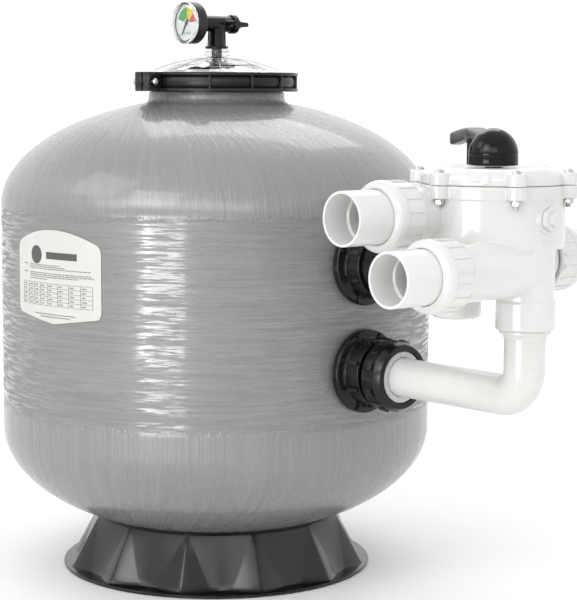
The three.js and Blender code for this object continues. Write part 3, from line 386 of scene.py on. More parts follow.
def moulded(name, color, rough, grain=0.00002, grain_scale=900, wear=0.0, **extra):
    """Moulded plastic: faint flow marks, fine grain and lighter rubbed edges."""
    p = Paint(name)
    flow = p.noise(9, 5, 0.6)
    speck = p.noise(160, 3, 0.6)
    tone = p.mix(p.ramp(flow, 0.3, 0.7), shade(color, 0.93), shade(color, 1.05))
    if wear:
        edge = p.add("NewGeometry").outputs["Pointiness"]
        rubbed = p.math("MULTIPLY", p.ramp(edge, 0.52, 0.62), p.ramp(speck, 0.4, 0.65), clamp=True)
        worn = tuple(min(1.0, c + wear) for c in color[:3]) + (1.0,)
        tone = p.mix(rubbed, tone, worn)
    fine = p.noise(grain_scale, 2, 0.5)
    soft = p.noise(22, 2, 0.5)
    normal = p.bump(fine, grain)
    normal = p.bump(soft, 0.00025, 0.35, normal)
    uneven = p.ramp(p.noise(45, 4, 0.6), 0.3, 0.7, rough * 0.85, rough * 1.15)
    p.set(color=tone, rough=uneven, normal=normal, **extra)
    return p.mat


def tank_paint():
    """Grey laminate: level hoop windings on the straight wall, slanted fibres on both heads."""
    p = Paint("wound_laminate")
    local = p.vector("SUBTRACT", p.place, (TX / 1000, 0, 0))
    x, y, z = p.add("SeparateXYZ", {0: local}).outputs
    flat = p.add("CombineXYZ", {0: x, 1: y, 2: 0.0}).outputs[0]
    radius = p.add("VectorMath", {0: flat}, operation="LENGTH").outputs["Value"]
    unit = p.vector("NORMALIZE", flat)

    def stretched(direction, along, lift):
        at = p.add("VectorMath", {0: direction, "Scale": along}, operation="SCALE").outputs[0]
        return p.vector("ADD", at, p.add("CombineXYZ", {2: lift}).outputs[0])

    def level(scale, along, seed=0.0):
        return stretched(unit, along, p.math("MULTIPLY_ADD", z, scale, seed))

    # fibres run tangent to the neck opening
    turn = p.math("ARCCOSINE", p.math("DIVIDE", 0.08, p.math("MAXIMUM", radius, 0.0805)))

    def slanted(sign, scale, along, seed):
        inputs = {"Vector": unit, "Angle": p.math("MULTIPLY", turn, sign)}
        twisted = p.add("VectorRotate", inputs, rotation_type="Z_AXIS").outputs[0]
        return stretched(twisted, scale, p.math("MULTIPLY_ADD", radius, along, seed))

    hoop_fine = p.noise(1, 3, 0.6, level(620, 4.0))
    hoop_mid = p.noise(1, 2, 0.6, level(210, 2.6, 5.0))
    hoop_band = p.noise(1, 3, 0.7, level(330, 7.0, 9.0))
    main = p.noise(1, 4, 0.68, slanted(-1.0, 74, 20.0, 0.0))
    wide = p.noise(1, 3, 0.6, slanted(-1.0, 27, 9.0, 3.0))
    other = p.noise(1, 4, 0.68, slanted(1.0, 66, 18.0, 7.0))
    fibre = p.math("ADD", p.math("MULTIPLY", main, 0.55), p.math("MULTIPLY", wide, 0.45))
    # ragged border between windings and heads
    ragged = p.math("MULTIPLY_ADD", p.noise(1, 3, 0.7, level(40, 40.0)), 0.012, -0.006)
    height = p.math("ADD", z, ragged)
    wall = p.math("MULTIPLY", p.ramp(height, 0.2055, 0.2105), p.ramp(height, 0.4465, 0.4495, 1.0, 0.0))
    hoop = p.math("ADD", p.math("MULTIPLY", hoop_fine, 0.5), p.math("MULTIPLY", hoop_mid, 0.5))
    dark, mid, pale = (0.189, 0.190, 0.186, 1), (0.216, 0.217, 0.212, 1), (0.315, 0.315, 0.307, 1)
    tone_wall = p.mix(p.ramp(hoop, 0.40, 0.60), (0.193, 0.194, 0.190, 1), (0.243, 0.243, 0.238, 1))
    tone_head = p.mix(p.ramp(fibre, 0.40, 0.62), mid, (0.247, 0.247, 0.242, 1))
    tone_head = p.mix(p.ramp(fibre, 0.60, 0.74), tone_head, pale)
    tone_head = p.mix(p.ramp(other, 0.66, 0.80, 0.0, 0.6), tone_head, pale)
    tone = p.mix(wall, tone_head, tone_wall)
    tone = p.mix(p.ramp(p.noise(4, 3, 0.5), 0.35, 0.7, 0.0, 0.5), tone, dark)
    # stray bright scuffs and dust specks
    speck = p.ramp(p.noise(420, 2, 0.5), 0.73, 0.78, 0.0, 0.7)
    speck = p.math("MULTIPLY", speck, p.ramp(p.noise(14, 2, 0.5), 0.58, 0.68))
    tone = p.mix(speck, tone, (0.6, 0.6, 0.58, 1))

    def choose(head, straight):
        node = p.add("Mix", data_type="FLOAT")
        p.feed(node.inputs[0], wall)
        p.feed(node.inputs[2], head)
        p.feed(node.inputs[3], straight)
        return node.outputs[0]

    crest_head = p.math("ADD", p.math("MULTIPLY", main, 0.8), p.math("MULTIPLY", other, 0.35))
    relief = choose(p.math("ADD", crest_head, p.math("MULTIPLY", wide, 1.1)),
                    p.math("ADD", p.math("MULTIPLY", hoop_mid, 0.5), p.math("MULTIPLY", hoop_fine, 0.22)))
    normal = p.bump(relief, 0.0016, 0.7)
    rough = choose(p.ramp(fibre, 0.40, 0.62, 0.36, 0.17), p.ramp(hoop_band, 0.46, 0.60, 0.52, 0.13))
    coat = choose(0.5, p.ramp(hoop_band, 0.48, 0.58, 0.03, 0.85))
    p.set(color=tone, rough=rough, normal=normal, coat=coat, coat_rough=0.10)
    return p.mat


def clear_plastic(name, tint, rough, clear=1.0, ior=1.15):
    p = Paint(name)
    haze = p.noise(12, 3, 0.5)
    p.set(color=p.mix(p.ramp(haze, 0.35, 0.7), shade(tint, 0.97), shade(tint, 1.02)),
          rough=p.ramp(p.noise(60, 3, 0.6), 0.3, 0.7, rough * 0.6, rough * 1.4),
          clear=clear, ior=ior, coat=1.0, coat_rough=0.05, normal=p.bump(p.noise(30, 2, 0.5), 0.0003, 0.3))
    return p.mat


def brushed(name, color, rough):
    p = Paint(name)
    fine = p.noise(700, 3, 0.7)
    stain = p.noise(60, 4, 0.6)
    p.set(color=p.mix(p.ramp(stain, 0.4, 0.75), color, shade(color, 0.7)), metal=1.0,
          rough=p.ramp(fine, 0.3, 0.7, rough * 0.7, rough * 1.4), normal=p.bump(fine, 0.00003, 0.6))
    return p.mat


def printed(name, paper):
    p = Paint(name)
    fibre = p.noise(500, 4, 0.6)
    blotch = p.noise(14, 3, 0.6)
    p.set(color=p.mix(p.ramp(blotch, 0.3, 0.7), shade(paper, 0.94), shade(paper, 1.03)),
          rough=p.ramp(fibre, 0.3, 0.7, 0.4, 0.6), normal=p.bump(fibre, 0.00003, 0.4))
    return p.mat


# colour, roughness, grain depth in metres, grain scale, rubbed edge lightening
WHITE = moulded("white_gloss_plastic", (0.70, 0.694, 0.685), 0.20, 0.000006, 500,
                specular=0.5, coat=0.3, coat_rough=0.08)
PIPE = moulded("white_pipe", (0.69, 0.688, 0.675), 0.24, 0.000008, 500)
BLACK = moulded("black_gloss_plastic", (0.006, 0.006, 0.0065), 0.26, 0.000012, 700, 0.03, specular=0.28)
DOME = moulded("black_polished_plastic", (0.004, 0.004, 0.0045), 0.13, 0.000003, 400, specular=0.22)
FOOT = moulded("black_textured_plastic", (0.005, 0.005, 0.0055), 0.22, 0.00004, 1300, 0.03, specular=0.42)
CLAMP = moulded("black_satin_plastic", (0.008, 0.008, 0.0085), 0.30, 0.00004, 1100, 0.04, specular=0.28)
CASE = moulded("gauge_case_plastic", (0.018, 0.020, 0.023), 0.36, 0.00003, 1100, 0.03, specular=0.3)
GREY = moulded("grey_satin_plastic", (0.040, 0.042, 0.046), 0.30, 0.00003, 1000, 0.05, specular=0.4)
RUBBER = moulded("black_rubber", (0.012, 0.012, 0.012), 0.75, 0.00005, 900)
INNER = moulded("inner_white_plastic", (0.7, 0.7, 0.69), 0.4)
CLEAR = clear_plastic("clear_lid_plastic", (0.93, 0.95, 0.95), 0.05)
FROST = clear_plastic("clear_ring_plastic", (0.72, 0.73, 0.73), 0.22, 0.35, 1.4)
STEEL = brushed("brushed_steel", (0.62, 0.61, 0.59, 1), 0.28)
PAPER = printed("label_paper", (0.60, 0.60, 0.57))
DIAL = printed("dial_paper", (0.62, 0.62, 0.61))
INK = printed("label_ink", (0.07, 0.07, 0.068))
INK_SOFT = printed("label_ink_soft", (0.20, 0.20, 0.19))
DIAL_INK = printed("dial_ink", (0.03, 0.03, 0.03))
GREEN = printed("dial_green", (0.03, 0.26, 0.02))
YELLOW = printed("dial_yellow", (0.62, 0.44, 0.005))
RED = printed("dial_red", (0.45, 0.02, 0.012))
LAMINATE = tank_paint()


# ---------- tank, label, neck and foot ----------

HEAD_H = 132.5
WALL = 6.0
NECK_R = 82
NECK_RISE = 126.1


def head_arc(radius, height, centre, a0, a1, steps):
    """Stretch of a head's ellipse from angle a0 to a1, in degrees."""
    angles = [rad(a0 + (a1 - a0) * i / steps) for i in range(steps + 1)]
    return [(radius * cos(a), centre + height * sin(a)) for a in angles]


def angle_at(radius, ellipse_r):
    return math.degrees(math.acos(radius / ellipse_r))


def tank():
    base, rim = TANK_LO.z, TANK_HI.z
    bottom, top = base + HEAD_H, rim - NECK_RISE
    inner_r, inner_h = TANK_R - WALL, HEAD_H - WALL
    straight = [(TANK_R, bottom + (top - bottom) * i / 90) for i in range(1, 90)]
    outer = head_arc(TANK_R, HEAD_H, bottom, -90, 0, 48) + straight
    outer += head_arc(TANK_R, HEAD_H, top, 0, angle_at(90, TANK_R), 46)
    outer += [(86.8, rim - 0.1), (84.8, rim + 2), (83.8, rim + 5), (83.2, rim + 12.5), (NECK_R, rim + 12.5)]
    inner = head_arc(inner_r, inner_h, top, angle_at(NECK_R, inner_r), 0, 24)
    inner += head_arc(inner_r, inner_h, bottom, 0, -90, 24)
    profile = [(0, base)] + outer[1:] + inner[:-1] + [(0, base + WALL)]
    # shallow hoop bands give the straight wall its real ripple
    rippled = []
    for r, z in profile:
        if r > TANK_R - 1 and bottom + 30 < z < top:
            r -= 0.25 + 0.16 * sin(z * 0.9) + 0.12 * sin(z * 0.37 + 1.3) + 0.08 * sin(z * 2.3)
        rippled.append((r, z))
    bm = moved(lathe(rippled, 240), shift(TX))
    holes = []
    for side in ("lower", "upper"):
        lock = middle(f"{side}_lock_nut")
        holes.append(moved(rod(31.6, 200, 300, 64), turn_to((TX, 0, lock.z), ALONG_X, (0, 1, 0))))
    piece("tank_wall", carve(bm, holes), LAMINATE, "tank", ["tank_shell"], angle=40)


def curved(cells, radius, inner, angle0):
    """Thin sheet bent round the tank; each cell is (arc, low, high, next arc, low, high)."""
    bm = bmesh.new()
    cache = {}

    def vert(s, z, r):
        key = (round(s, 4), round(z, 4), r)
        if key not in cache:
            a = angle0 + s / TANK_R
            cache[key] = bm.verts.new((TX + r * cos(a), r * sin(a), z))
        return cache[key]

    for s0, z00, z01, s1, z10, z11 in cells:
        corners = [(s0, z00), (s1, z10), (s1, z11), (s0, z01)]
        bm.faces.new([vert(s, z, radius) for s, z in corners])
        bm.faces.new([vert(s, z, inner) for s, z in reversed(corners)])
    border = [e for e in bm.edges if len(e.link_faces) == 1]
    corners = list(bm.verts)
    for edge in border:
        v, w = edge.verts
        if math.hypot(v.co.x - TX, v.co.y) < (radius + inner) / 2:
            continue
        mates = []
        for u in (v, w):
            k = inner / radius
            target = Vector((TX + (u.co.x - TX) * k, u.co.y * k, u.co.z))
            mates.append(min(corners, key=lambda t: (t.co - target).length))
        bm.faces.new((v, w, mates[1], mates[0]))
    bmesh.ops.recalc_face_normals(bm, faces=bm.faces)
    return bm


LABEL_ANGLE = rad(-83.3)
LABEL_HALF = 71.5


def label_edges(s):
    """Lower and upper border of the label at arc position s: bowed top, shallow point below."""
    u = s / LABEL_HALF
    top = 414 + 17 * (1 - u * u)
    bottom = 333 - 10 * (1 - abs(u))
    inset = max(0.0, abs(s) - (LABEL_HALF - 6))
    drop = 6 - math.sqrt(max(0.0, 36 - inset * inset))
    return bottom + drop, top - drop


def label():
    steps = 64
    cells = []
    for i in range(steps):
        s0, s1 = (-LABEL_HALF + 2 * LABEL_HALF * k / steps for k in (i, i + 1))
        cells.append((s0, *label_edges(s0), s1, *label_edges(s1)))
    sheet = curved(cells, TANK_R + 0.75, TANK_R + 0.15, LABEL_ANGLE)
    piece("label", sheet, PAPER, "tank", ["tank_label"])
    top = TANK_R + 0.95
    base = TANK_R + 0.74

    def bar(s0, s1, z0, z1):
        n = max(1, int(abs(s1 - s0) / 6))
        return [(s0 + (s1 - s0) * k / n, z0, z1, s0 + (s1 - s0) * (k + 1) / n, z0, z1) for k in range(n)]

    def disc(s, z, r):
        out = []
        for k in range(16):
            a0, a1 = -r + 2 * r * k / 16, -r + 2 * r * (k + 1) / 16
            h0, h1 = math.sqrt(max(r * r - a0 * a0, 0.02)), math.sqrt(max(r * r - a1 * a1, 0.02))
            out.append((s + a0, z - h0, z + h0, s + a1, z - h1, z + h1))
        return out

    big = disc(-31, 401.5, 10.5) + bar(-12, 38, 397.5, 405.5)
    marks = []
    # short dashes stand for the lines of print
    widths = [7, 4, 9, 5, 6, 3, 8, 5, 4, 7]
    rows = [(389.5, 10), (387.4, 20), (385.3, 58), (380.2, 58), (378.1, 62), (376.0, 40), (373.4, -10)]
    for row, (z, end) in enumerate(rows):
        if row in (0, 3):
            marks += bar(-58, -50, z, z + 1.1)
        s, k = -44, row * 3
        while s < end:
            w = widths[k % 10] * 0.9
            marks += bar(s, min(s + w, end), z, z + 1.0)
            s += w + 1.2
            k += 1
    table = []
    z0, z1 = 343.5, 369.0
    columns = [-60, -47.5, -36, -24, -11, 7, 25, 43, 60]
    for k in range(6):
        z = z0 + (z1 - z0) * k / 5
        table += bar(-60, 60.5, z, z + 0.45)
    for s in columns:
        table += [(s, z0, z1 + 0.45, s + 0.55, z0, z1 + 0.45)]
    for row in range(5):
        for col, (s, end) in enumerate(zip(columns, columns[1:])):
            z = z0 + 1.9 + (z1 - z0) * row / 5
            table += bar(s + 2.2, min(end - 1.5, s + 7 + (row + col) % 3), z, z + 1.3)
    marks += bar(-34, 35, 333.4, 334.4) + bar(-24, 27, 330.4, 331.4)
    piece("label_emblem", curved(big, top, base, LABEL_ANGLE), INK, "tank")
    for part, cells in (("lines", marks), ("table", table)):
        print_marks = joined([curved([cell], top, base, LABEL_ANGLE) for cell in cells])
        piece(f"label_{part}", print_marks, INK_SOFT, "tank")


def neck():
    lo, hi = node_box("neck_ring")
    shelf = 592.5
    profile = [(72, lo.z), (81.7, lo.z), (81.7, shelf), (93.5, shelf), (93.5, hi.z), (86.5, hi.z)]
    profile += [(86.5, 596), (81.5, 596), (81.5, hi.z), (72, hi.z)]
    bm = moved(turned_ring(profile, 0.8, 2, 144), shift(TX))
    piece("neck_collar", bm, CLAMP, "tank", ["neck_ring"])


def seat(radius):
    """Point on the tank's underside, a hair outside it, at a radius."""
    return radius, TANK_LO.z + HEAD_H * (1 - math.sqrt(1 - (radius / TANK_R) ** 2)) - 0.6


def foot_columns(pleats, turn, facet_low, facet_top):
    """Angle at the floor, angle at the top and fall from the crest, for each line up the foot."""
    falls = [0.0, 0.03, 0.07, 0.13, 0.22, 0.35, 0.5, 0.65, 0.8, 0.9, 1.0]
    sides = [(-1, fall) for fall in reversed(falls)] + [(1, fall) for fall in falls[1:]]
    columns = []
    for i in range(pleats):
        centre = turn + TAU * i / pleats
        valley = centre - PI / pleats
        columns.append((valley, valley, 1.0))
        for side, fall in sides:
            columns.append((centre + side * facet_low * fall, centre + side * facet_top * fall, fall))
    return columns


def foot():
    top_z = node_box("base_skirt")[1].z
    wall, flange = 5.0, 3.5
    foot_r, top_r, ridge_r, valley_r = 192.4, 151.5, 186.0, 172.0
    heights, blunt = 14, 0.07
    bm = bmesh.new()
    rings = []
    for low, high, fall in foot_columns(12, rad(8), rad(11.3), rad(1.5)):
        # the crest is slightly blunt
        eased = (math.sqrt(fall * fall + blunt * blunt) - blunt) / (math.sqrt(1 + blunt * blunt) - blunt)
        foot_in = ridge_r + (valley_r - ridge_r) * eased
        line = [(foot_r - 0.6, 0), (foot_r, 0.6), (foot_r, flange - 0.8), (foot_r - 0.8, flange)]
        line += [(foot_in + 1.4, flange + 0.1), (foot_in + 0.2, flange + 0.9)]
        points = [(r, low, z) for r, z in line]
        for k in range(1, heights + 1):
            t = k / heights
            r = foot_in + (top_r + 1 - foot_in) * t
            points.append((r, low + (high - low) * t, flange + (top_z - 2.4 - flange) * t))
        # thin black lip that follows the tank's underside above the rim, painted shade standing in for the
        # dark shadow gap between the foot and the tank
        lip = [(161.0, seat(161.0)[1] - 1.3), (161.4, seat(161.4)[1] - 0.6)]
        lip += [seat(r) for r in (161.0, 156.0, top_r, top_r - wall)]
        points += [(r, high, z) for r, z in lip]
        points += [(foot_in - wall, low, flange), (foot_in - wall, low, 0)]
        rings.append([bm.verts.new((TX + r * cos(a), r * sin(a), z)) for r, a, z in points])
    bridge(bm, rings, True)
    bmesh.ops.recalc_face_normals(bm, faces=bm.faces)
    piece("foot", bm, FOOT, "tank", ["base_skirt"], angle=24)


tank()
label()
neck()
foot()


# ---------- lid, clamp and gauge ----------

def crown(r):
    """Height of the lid dome's top surface at radius r."""
    return 629.7 - r * r / 380


def lid():
    seat, top = node_box("lid")[0].z, node_box("lid")[1].z
    under = [(82, seat), (80, 606), (60, 616.5), (34, 622.4), (10, 625)]
    over = [(r, crown(r)) for r in (15, 22, 30, 38, 46, 54, 62, 70, 76)]
    over += [(85.5, 608.2), (93.5, 607.4), (93.5, seat)]
    # two bulges over a waist, flaring into the dome
    steps = [(7.3, 0), (13.6, 0), (15.8, 0.9), (16.2, 2.4), (15.4, 4.0), (14.4, 4.7), (15.4, 5.4),
             (16.2, 7.0), (15.4, 8.7), (12.0, 9.8), (10.6, 11.4)]
    bulges = [(r, top - down) for r, down in steps] + [(11.4, crown(11.4) + 1.4)]
    profile = rounded(under + [(7.3, 626)], 2, 3) + rounded(bulges, 0.8, 3) + rounded(over, 1.6, 3)
    dome = moved(lathe(profile, 144, True), shift(TX))
    piece("lid_dome", dome, CLEAR, "tank", ["lid"], angle=40)
    ribs = []
    for k in range(8):
        radii = [17, 28, 40, 52, 64, 76]
        web = [(r, crown(r) + 0.05) for r in radii] + [(r, crown(r) + 0.85) for r in reversed(radii)]
        rib = moved(prism(web, -0.8, 0.8), Matrix.Rotation(PI / 2, 4, "X"))
        ribs.append(moved(rib, spin(TAU * (k + 0.22) / 8)))
    piece("lid_ribs", moved(joined(ribs), shift(TX)), FROST, "tank")


def clamp_half(name, turn, node):
    lo, hi = node_box("clamp_half_front")
    zb, zt, lip = lo.z, hi.z, 3.6
    rise = zt - zb - 2 * lip
    bulge = [(94.7 + 2.1 * sin(PI * k / 8), zb + lip + rise * k / 8) for k in range(9)]
    profile = [(87, zb), (99.6, zb), (100, zb + 0.5), (100, zb + lip - 0.5), (99.6, zb + lip)] + bulge
    profile += [(99.6, zt - lip), (100, zt - lip + 0.5), (100, zt - 0.5), (99.6, zt), (87, zt),
                (87, zt - lip), (93.8, zt - lip), (93.8, zb + lip), (87, zb + lip)]
    steps = 90
    bm = bmesh.new()
    a0 = math.asin(1 / 100)
    rings = []
    for i in range(steps + 1):
        a = -PI / 2 + a0 + (PI - 2 * a0) * i / steps
        rings.append([bm.verts.new((r * cos(a), r * sin(a), z)) for r, z in profile])
    bridge(bm, rings)
    for ring in (rings[0][::-1], rings[-1]):
        face = bm.faces.new(ring)
        bmesh.ops.triangulate(bm, faces=[face], ngon_method="BEAUTY")
    bmesh.ops.recalc_face_normals(bm, faces=bm.faces)
    parts = [bm]
    for deg in (-43.5, -13.5, 13.5, 43.5):
        parts.append(moved(block(94.5, 99.4, -1.1, 1.1, zb + lip - 0.4, zt - lip + 0.4), spin(rad(deg))))
    mid = (zb + zt) / 2
    for side in (-1, 1):
        lug = soft_block(1, 15, *sorted((side * 96.5, side * 114)), zb, zt, 0.8)
        at_bolt = turn_to((0, side * 106, mid), ALONG_X, (0, 1, 0))
        holes = [rod(4.4, -5, 25, 32), rod(7.4, 11.5, 25, 32)]
        parts.append(carve(lug, [moved(hole, at_bolt) for hole in holes]))
        for zz in (zb + 1.2, zt - 1.2):
            parts.append(block(14.2, 24, *sorted((side * 97, side * 101.5)), zz - 1.2, zz + 1.2))
    bm = moved(joined(parts), shift(TX) @ spin(turn))
    piece(name, bm, CLAMP, "tank", [node])


def hexagon(radius, z0, z1, chamfer=0.6):
    pts = [(radius * cos(TAU * k / 6), radius * sin(TAU * k / 6)) for k in range(6)]
    tip, side, drop = radius - chamfer * 1.2, radius + 0.3, chamfer * 1.4
    cone = lathe([(0, z0 - 1), (tip, z0), (side, z0 + drop), (side, z1 - drop), (tip, z1), (0, z1 + 1)], 48)
    return carve(prism(pts, z0, z1), [cone], "INTERSECT")


def threaded(radius, z0, z1, pitch=1.2, depth=0.35, segs=32):
    profile, z = [(0, z0)], z0
    profile.append((radius - depth, z0))
    while z + pitch < z1:
        profile += [(radius, z + pitch * 0.35), (radius, z + pitch * 0.5), (radius - depth, z + pitch * 0.95)]
        z += pitch
    profile += [(radius - depth, z1), (0, z1)]
    return lathe(profile, segs)


def clamp_bolt(name):
    mid = middle(name)
    grip = 15.3
    head = [(0, grip + 3.6), (2.6, grip + 3.5), (4.4, grip + 2.0), (4.4, grip), (0, grip)]
    parts = [threaded(3, -grip - 9, grip + 0.5), turned(head, 0.6, 3, 48)]
    parts += [hexagon(6.2, -grip - 5.6, -grip - 1.2), rod(7, -grip - 1.2, -grip, 40)]
    bm = moved(joined(parts), turn_to((TX, mid.y, mid.z), ALONG_X, (0, 1, 0)))
    piece(name.replace("bolt", "screw"), bm, STEEL, "tank", [name])


def gauge_tee():
    z0 = node_box("lid")[1].z
    gz = middle("gauge_case").z
    stem = turned([(0, z0 - 12), (6.4, z0 - 12), (6.4, z0 + 0.3), (14.3, z0 + 0.3), (14.3, z0 + 3),
                   (11.3, z0 + 3.5), (9.6, z0 + 12), (9.4, gz), (0, gz)], 0.7, 3, 48)
    outline = [(0, -19.8), (9.2, -19.8), (9.7, -19), (9.7, 26), (8.2, 28), (8.2, 31.9), (0, 31.9)]
    barrel = turned(outline, 0.6, 3, 56)
    nipple = turned([(0, 0), (3.9, 0), (3.5, 16), (2.9, 17), (2.9, 23.5), (0, 23.5)], 0.4, 3, 32)
    at_nipple = turn_to((0, 9, gz + 1), ALONG_X, (0, 1, 0))
    solids = [stem, moved(barrel, turn_to((0, 0, gz), (0, -1, 0))), moved(nipple, at_nipple)]

    def web():
        outline = [(5, z0 + 3), (11.5, z0 + 3), (10.6, gz - 7), (5, gz - 6)]
        return moved(prism(outline, -0.9, 0.9), Matrix.Rotation(PI / 2, 4, "X"))

    bm = fused(solids + around(4, 0.5, web), 0.45, 3)
    bore = moved(rod(1.5, 14, 30, 20), at_nipple)
    screw = moved(rod(4.9, 8, 30, 32), turn_to((0, 0, gz), (0, 1, 0)))
    bm = moved(carve(bm, [bore, screw]), shift(TX))
    piece("gauge_fitting", bm, BLACK, "tank", ["gauge_tee"], angle=40)


def sector(r0, r1, a0, a1, z0=0.06, z1=0.16):
    """Flat piece of a ring between two angles, in degrees."""
    n = max(2, int(abs(a1 - a0) / 5))
    angles = [rad(a0 + (a1 - a0) * k / n) for k in range(n + 1)]
    outline = [(r0 * cos(a), r0 * sin(a)) for a in angles]
    outline += [(r1 * cos(a), r1 * sin(a)) for a in reversed(angles)]
    bm = bmesh.new()
    low = [bm.verts.new((x, y, z0)) for x, y in outline]
    high = [bm.verts.new((x, y, z1)) for x, y in outline]
    m = len(outline)
    for k in range(n):
        q = (k, k + 1, m - 2 - k, m - 1 - k)
        bm.faces.new([high[i] for i in q])
        bm.faces.new([low[i] for i in reversed(q)])
    for k in range(m):
        bm.faces.new((low[k], low[(k + 1) % m], high[(k + 1) % m], high[k]))
    bmesh.ops.recalc_face_normals(bm, faces=bm.faces)
    return bm


def gauge():
    case_z = middle("gauge_case").z
    rim = node_box("gauge_lens")[0].y
    depth = node_box("gauge_case")[1].y - rim

    def forward(y):
        """Placement at distance y, with the part's own Z towards -Y."""
        return turn_to((TX, y, case_z), (0, -1, 0))

    outline = [(0.01, -depth), (23.4, -depth), (25, -depth + 1.8), (25, -4.2), (22.8, -4.2)]
    outline += [(22.8, -12.8), (0.01, -12.8)]
    case = moved(turned_ring(outline, 0.5, 3, 96), forward(rim))
    piece("gauge_body", case, CASE, "tank", ["gauge_case"])
    outline = [(0, -1.8), (21.6, -1.8), (22.2, -3.9), (25, -3.9), (25, -1.4), (24.3, -0.2), (23.2, 0)]
    lens = moved(turned(outline + [(22.0, -0.5), (0, -0.3)], 0.35, 3, 96), forward(rim))
    piece("gauge_window", lens, CLEAR, "tank", ["gauge_lens"])
    dial_at = forward(node_box("gauge_dial")[0].y)
    dial = turned([(0, -0.8), (22.2, -0.8), (22.4, -0.1), (22.0, 0.05), (0, 0.05)], 0.2, 2, 96)
    piece("dial_plate", moved(dial, dial_at), DIAL, "tank", ["gauge_dial"])
    # angles on the dial are in degrees from twelve o'clock
    bands = (("green", -75, 2, GREEN), ("yellow", 2, 50, YELLOW), ("red", 50, 86, RED))
    for name, a0, a1, material in bands:
        band = moved(sector(5.5, 18.6, 90 - a1, 90 - a0), dial_at)
        piece(f"dial_{name}_band", band, material, "tank")
    marks = []
    for k in range(31):
        angle = 90 - (-135 + 9 * k)
        inner, half = (18.9, 0.8) if k % 5 == 0 else (19.5, 0.45)
        marks.append(sector(inner, 20.7, angle - half, angle + half, 0.05, 0.14))
    marks += [moved(sector(1.0, 1.7, 0, 350, 0.05, 0.14), shift(x, -12.5)) for x in (-4.6, 0.8, 5.6)]
    piece("dial_marks", moved(joined(marks), dial_at), DIAL_INK, "tank")
    hub = turned([(0, 0), (2.4, 0), (2.4, 1.0), (1.4, 1.5), (0, 1.6)], 0.3, 3, 40)
    blade = prism([(-1.5, 5.6), (-1.7, 1), (-0.5, -16.8), (0.5, -16.8), (1.7, 1), (1.5, 5.6)], 0.3, 0.95)
    needle = moved(joined([hub, blade]), forward(node_box("gauge_needle")[1].y) @ spin(rad(-32)))
    piece("needle", needle, DIAL_INK, "needle", ["gauge_needle"])


def bleed_knob():
    outline = [(0, 1.2), (11.2, 1.2), (11.5, 1.6), (11.5, 8), (10.4, 8.5), (0, 8.9)]
    notches = around(12, 0, lambda: moved(rod(0.8, 0, 10, 12), shift(11.7)))
    disc = carve(turned(outline, 0.6, 3, 72), notches)
    stem = rod(4.4, -11, 2, 32)
    half = [(8, 7.8), (6.4, 12), (3.2, 18), (2.4, 28.2), (1.4, 29)]
    wing = prism([(-8, 7.8)] + half + [(-x, z) for x, z in reversed(half[1:])], -2, 2)
    wing = moved(wing, spin(PI / 2) @ Matrix(((1, 0, 0, 0), (0, 0, -1, 0), (0, 1, 0, 0), (0, 0, 0, 1))))
    knob = moved(joined([disc, stem, wing]), turn_to((TX, 20, middle("bleed_knob").z), (0, 1, 0), ALONG_X))
    piece("bleed_screw", knob, BLACK, "bleed", ["bleed_knob"], bevel=0.3)


lid()
clamp_half("clamp_front", 0, "clamp_half_front")
clamp_half("clamp_back", PI, "clamp_half_back")
clamp_bolt("clamp_bolt_left")
clamp_bolt("clamp_bolt_right")
gauge_tee()
gauge()
bleed_knob()


# ---------- bulkheads and elbow pipe ----------

def bulkhead(side):
    body_lo, body_hi = node_box(f"{side}_bulkhead")
    z = middle(f"{side}_bulkhead").z
    face, end = body_lo.x - TX, body_hi.x - TX
    start = node_box(f"{side}_lock_nut")[0].x - TX
    profile = [(24, face), (42, face), (42, face + 8), (31, face + 8), (30.4, start + 20)]
    pitch, x = 2.6, start + 27
    while x + pitch < end - 2:
        profile += [(30.1, x), (31, x + 0.8), (31, x + 1.4), (30.1, x + 2.3)]
        x += pitch
    profile += [(30.2, end - 1.5), (29.6, end), (24, end)]
    bm = moved(lathe(profile, 96, True), along_x(TX, z))
    piece(f"{side}_fitting", bm, BLACK, "tank", [f"{side}_bulkhead"])
    # lock nut: wide flange, waisted barrel and eight lugs with cheeks
    outline = [(31.5, 0), (48, 0), (48, 6), (46.5, 7.2), (40, 8.4), (38, 10), (38, 29), (37, 30), (31.5, 30)]

    def lug():
        cheek = soft_block(37, 46.4, -1.3, 1.3, 5.5, 10.5, 0.5)
        return joined([soft_block(36.5, 41.6, -2.8, 2.8, 6.5, 29.4, 0.8), cheek])

    bm = joined([turned_ring(outline, 0.9, 3, 112)] + around(8, 0.5, lug))
    bm = moved(bm, along_x(TX + start, z))
    piece(f"{side}_locking_nut", bm, BLACK, "tank", [f"{side}_lock_nut"])
    # union nut: ribbed cylinder with raised pads and a broad front face
    nut_lo, nut_hi = node_box(f"{side}_union_nut")
    length = nut_hi.x - nut_lo.x
    outline = [(31.5, 0), (38.6, 0), (39.4, 1.2), (39.4, 19.5), (37.2, 25), (35.6, length), (29.6, length)]
    outline += [(29.6, length - 5), (31.5, length - 5)]
    pads = around(8, 0.5, lambda: soft_block(38.4, 41.2, -5.2, 5.2, 8.5, 17.5, 0.7))
    ribs = around(8, 0, lambda: soft_block(38.6, 40.4, -0.9, 0.9, 1.5, 19.5, 0.5))
    bm = moved(joined([turned_ring(outline, 0.8, 3, 112)] + pads + ribs), along_x(nut_lo.x, z))
    piece(f"{side}_collar_nut", bm, BLACK, f"{side}_nut", [f"{side}_union_nut"])
    ring = turned_ring([(32, 0), (46, 0), (46, 3), (32, 3)], 0.5, 2, 112)
    ring = moved(ring, along_x(node_box(f"{side}_gasket")[0].x, z))
    piece(f"{side}_wall_seal", ring, RUBBER, "tank", [f"{side}_gasket"])


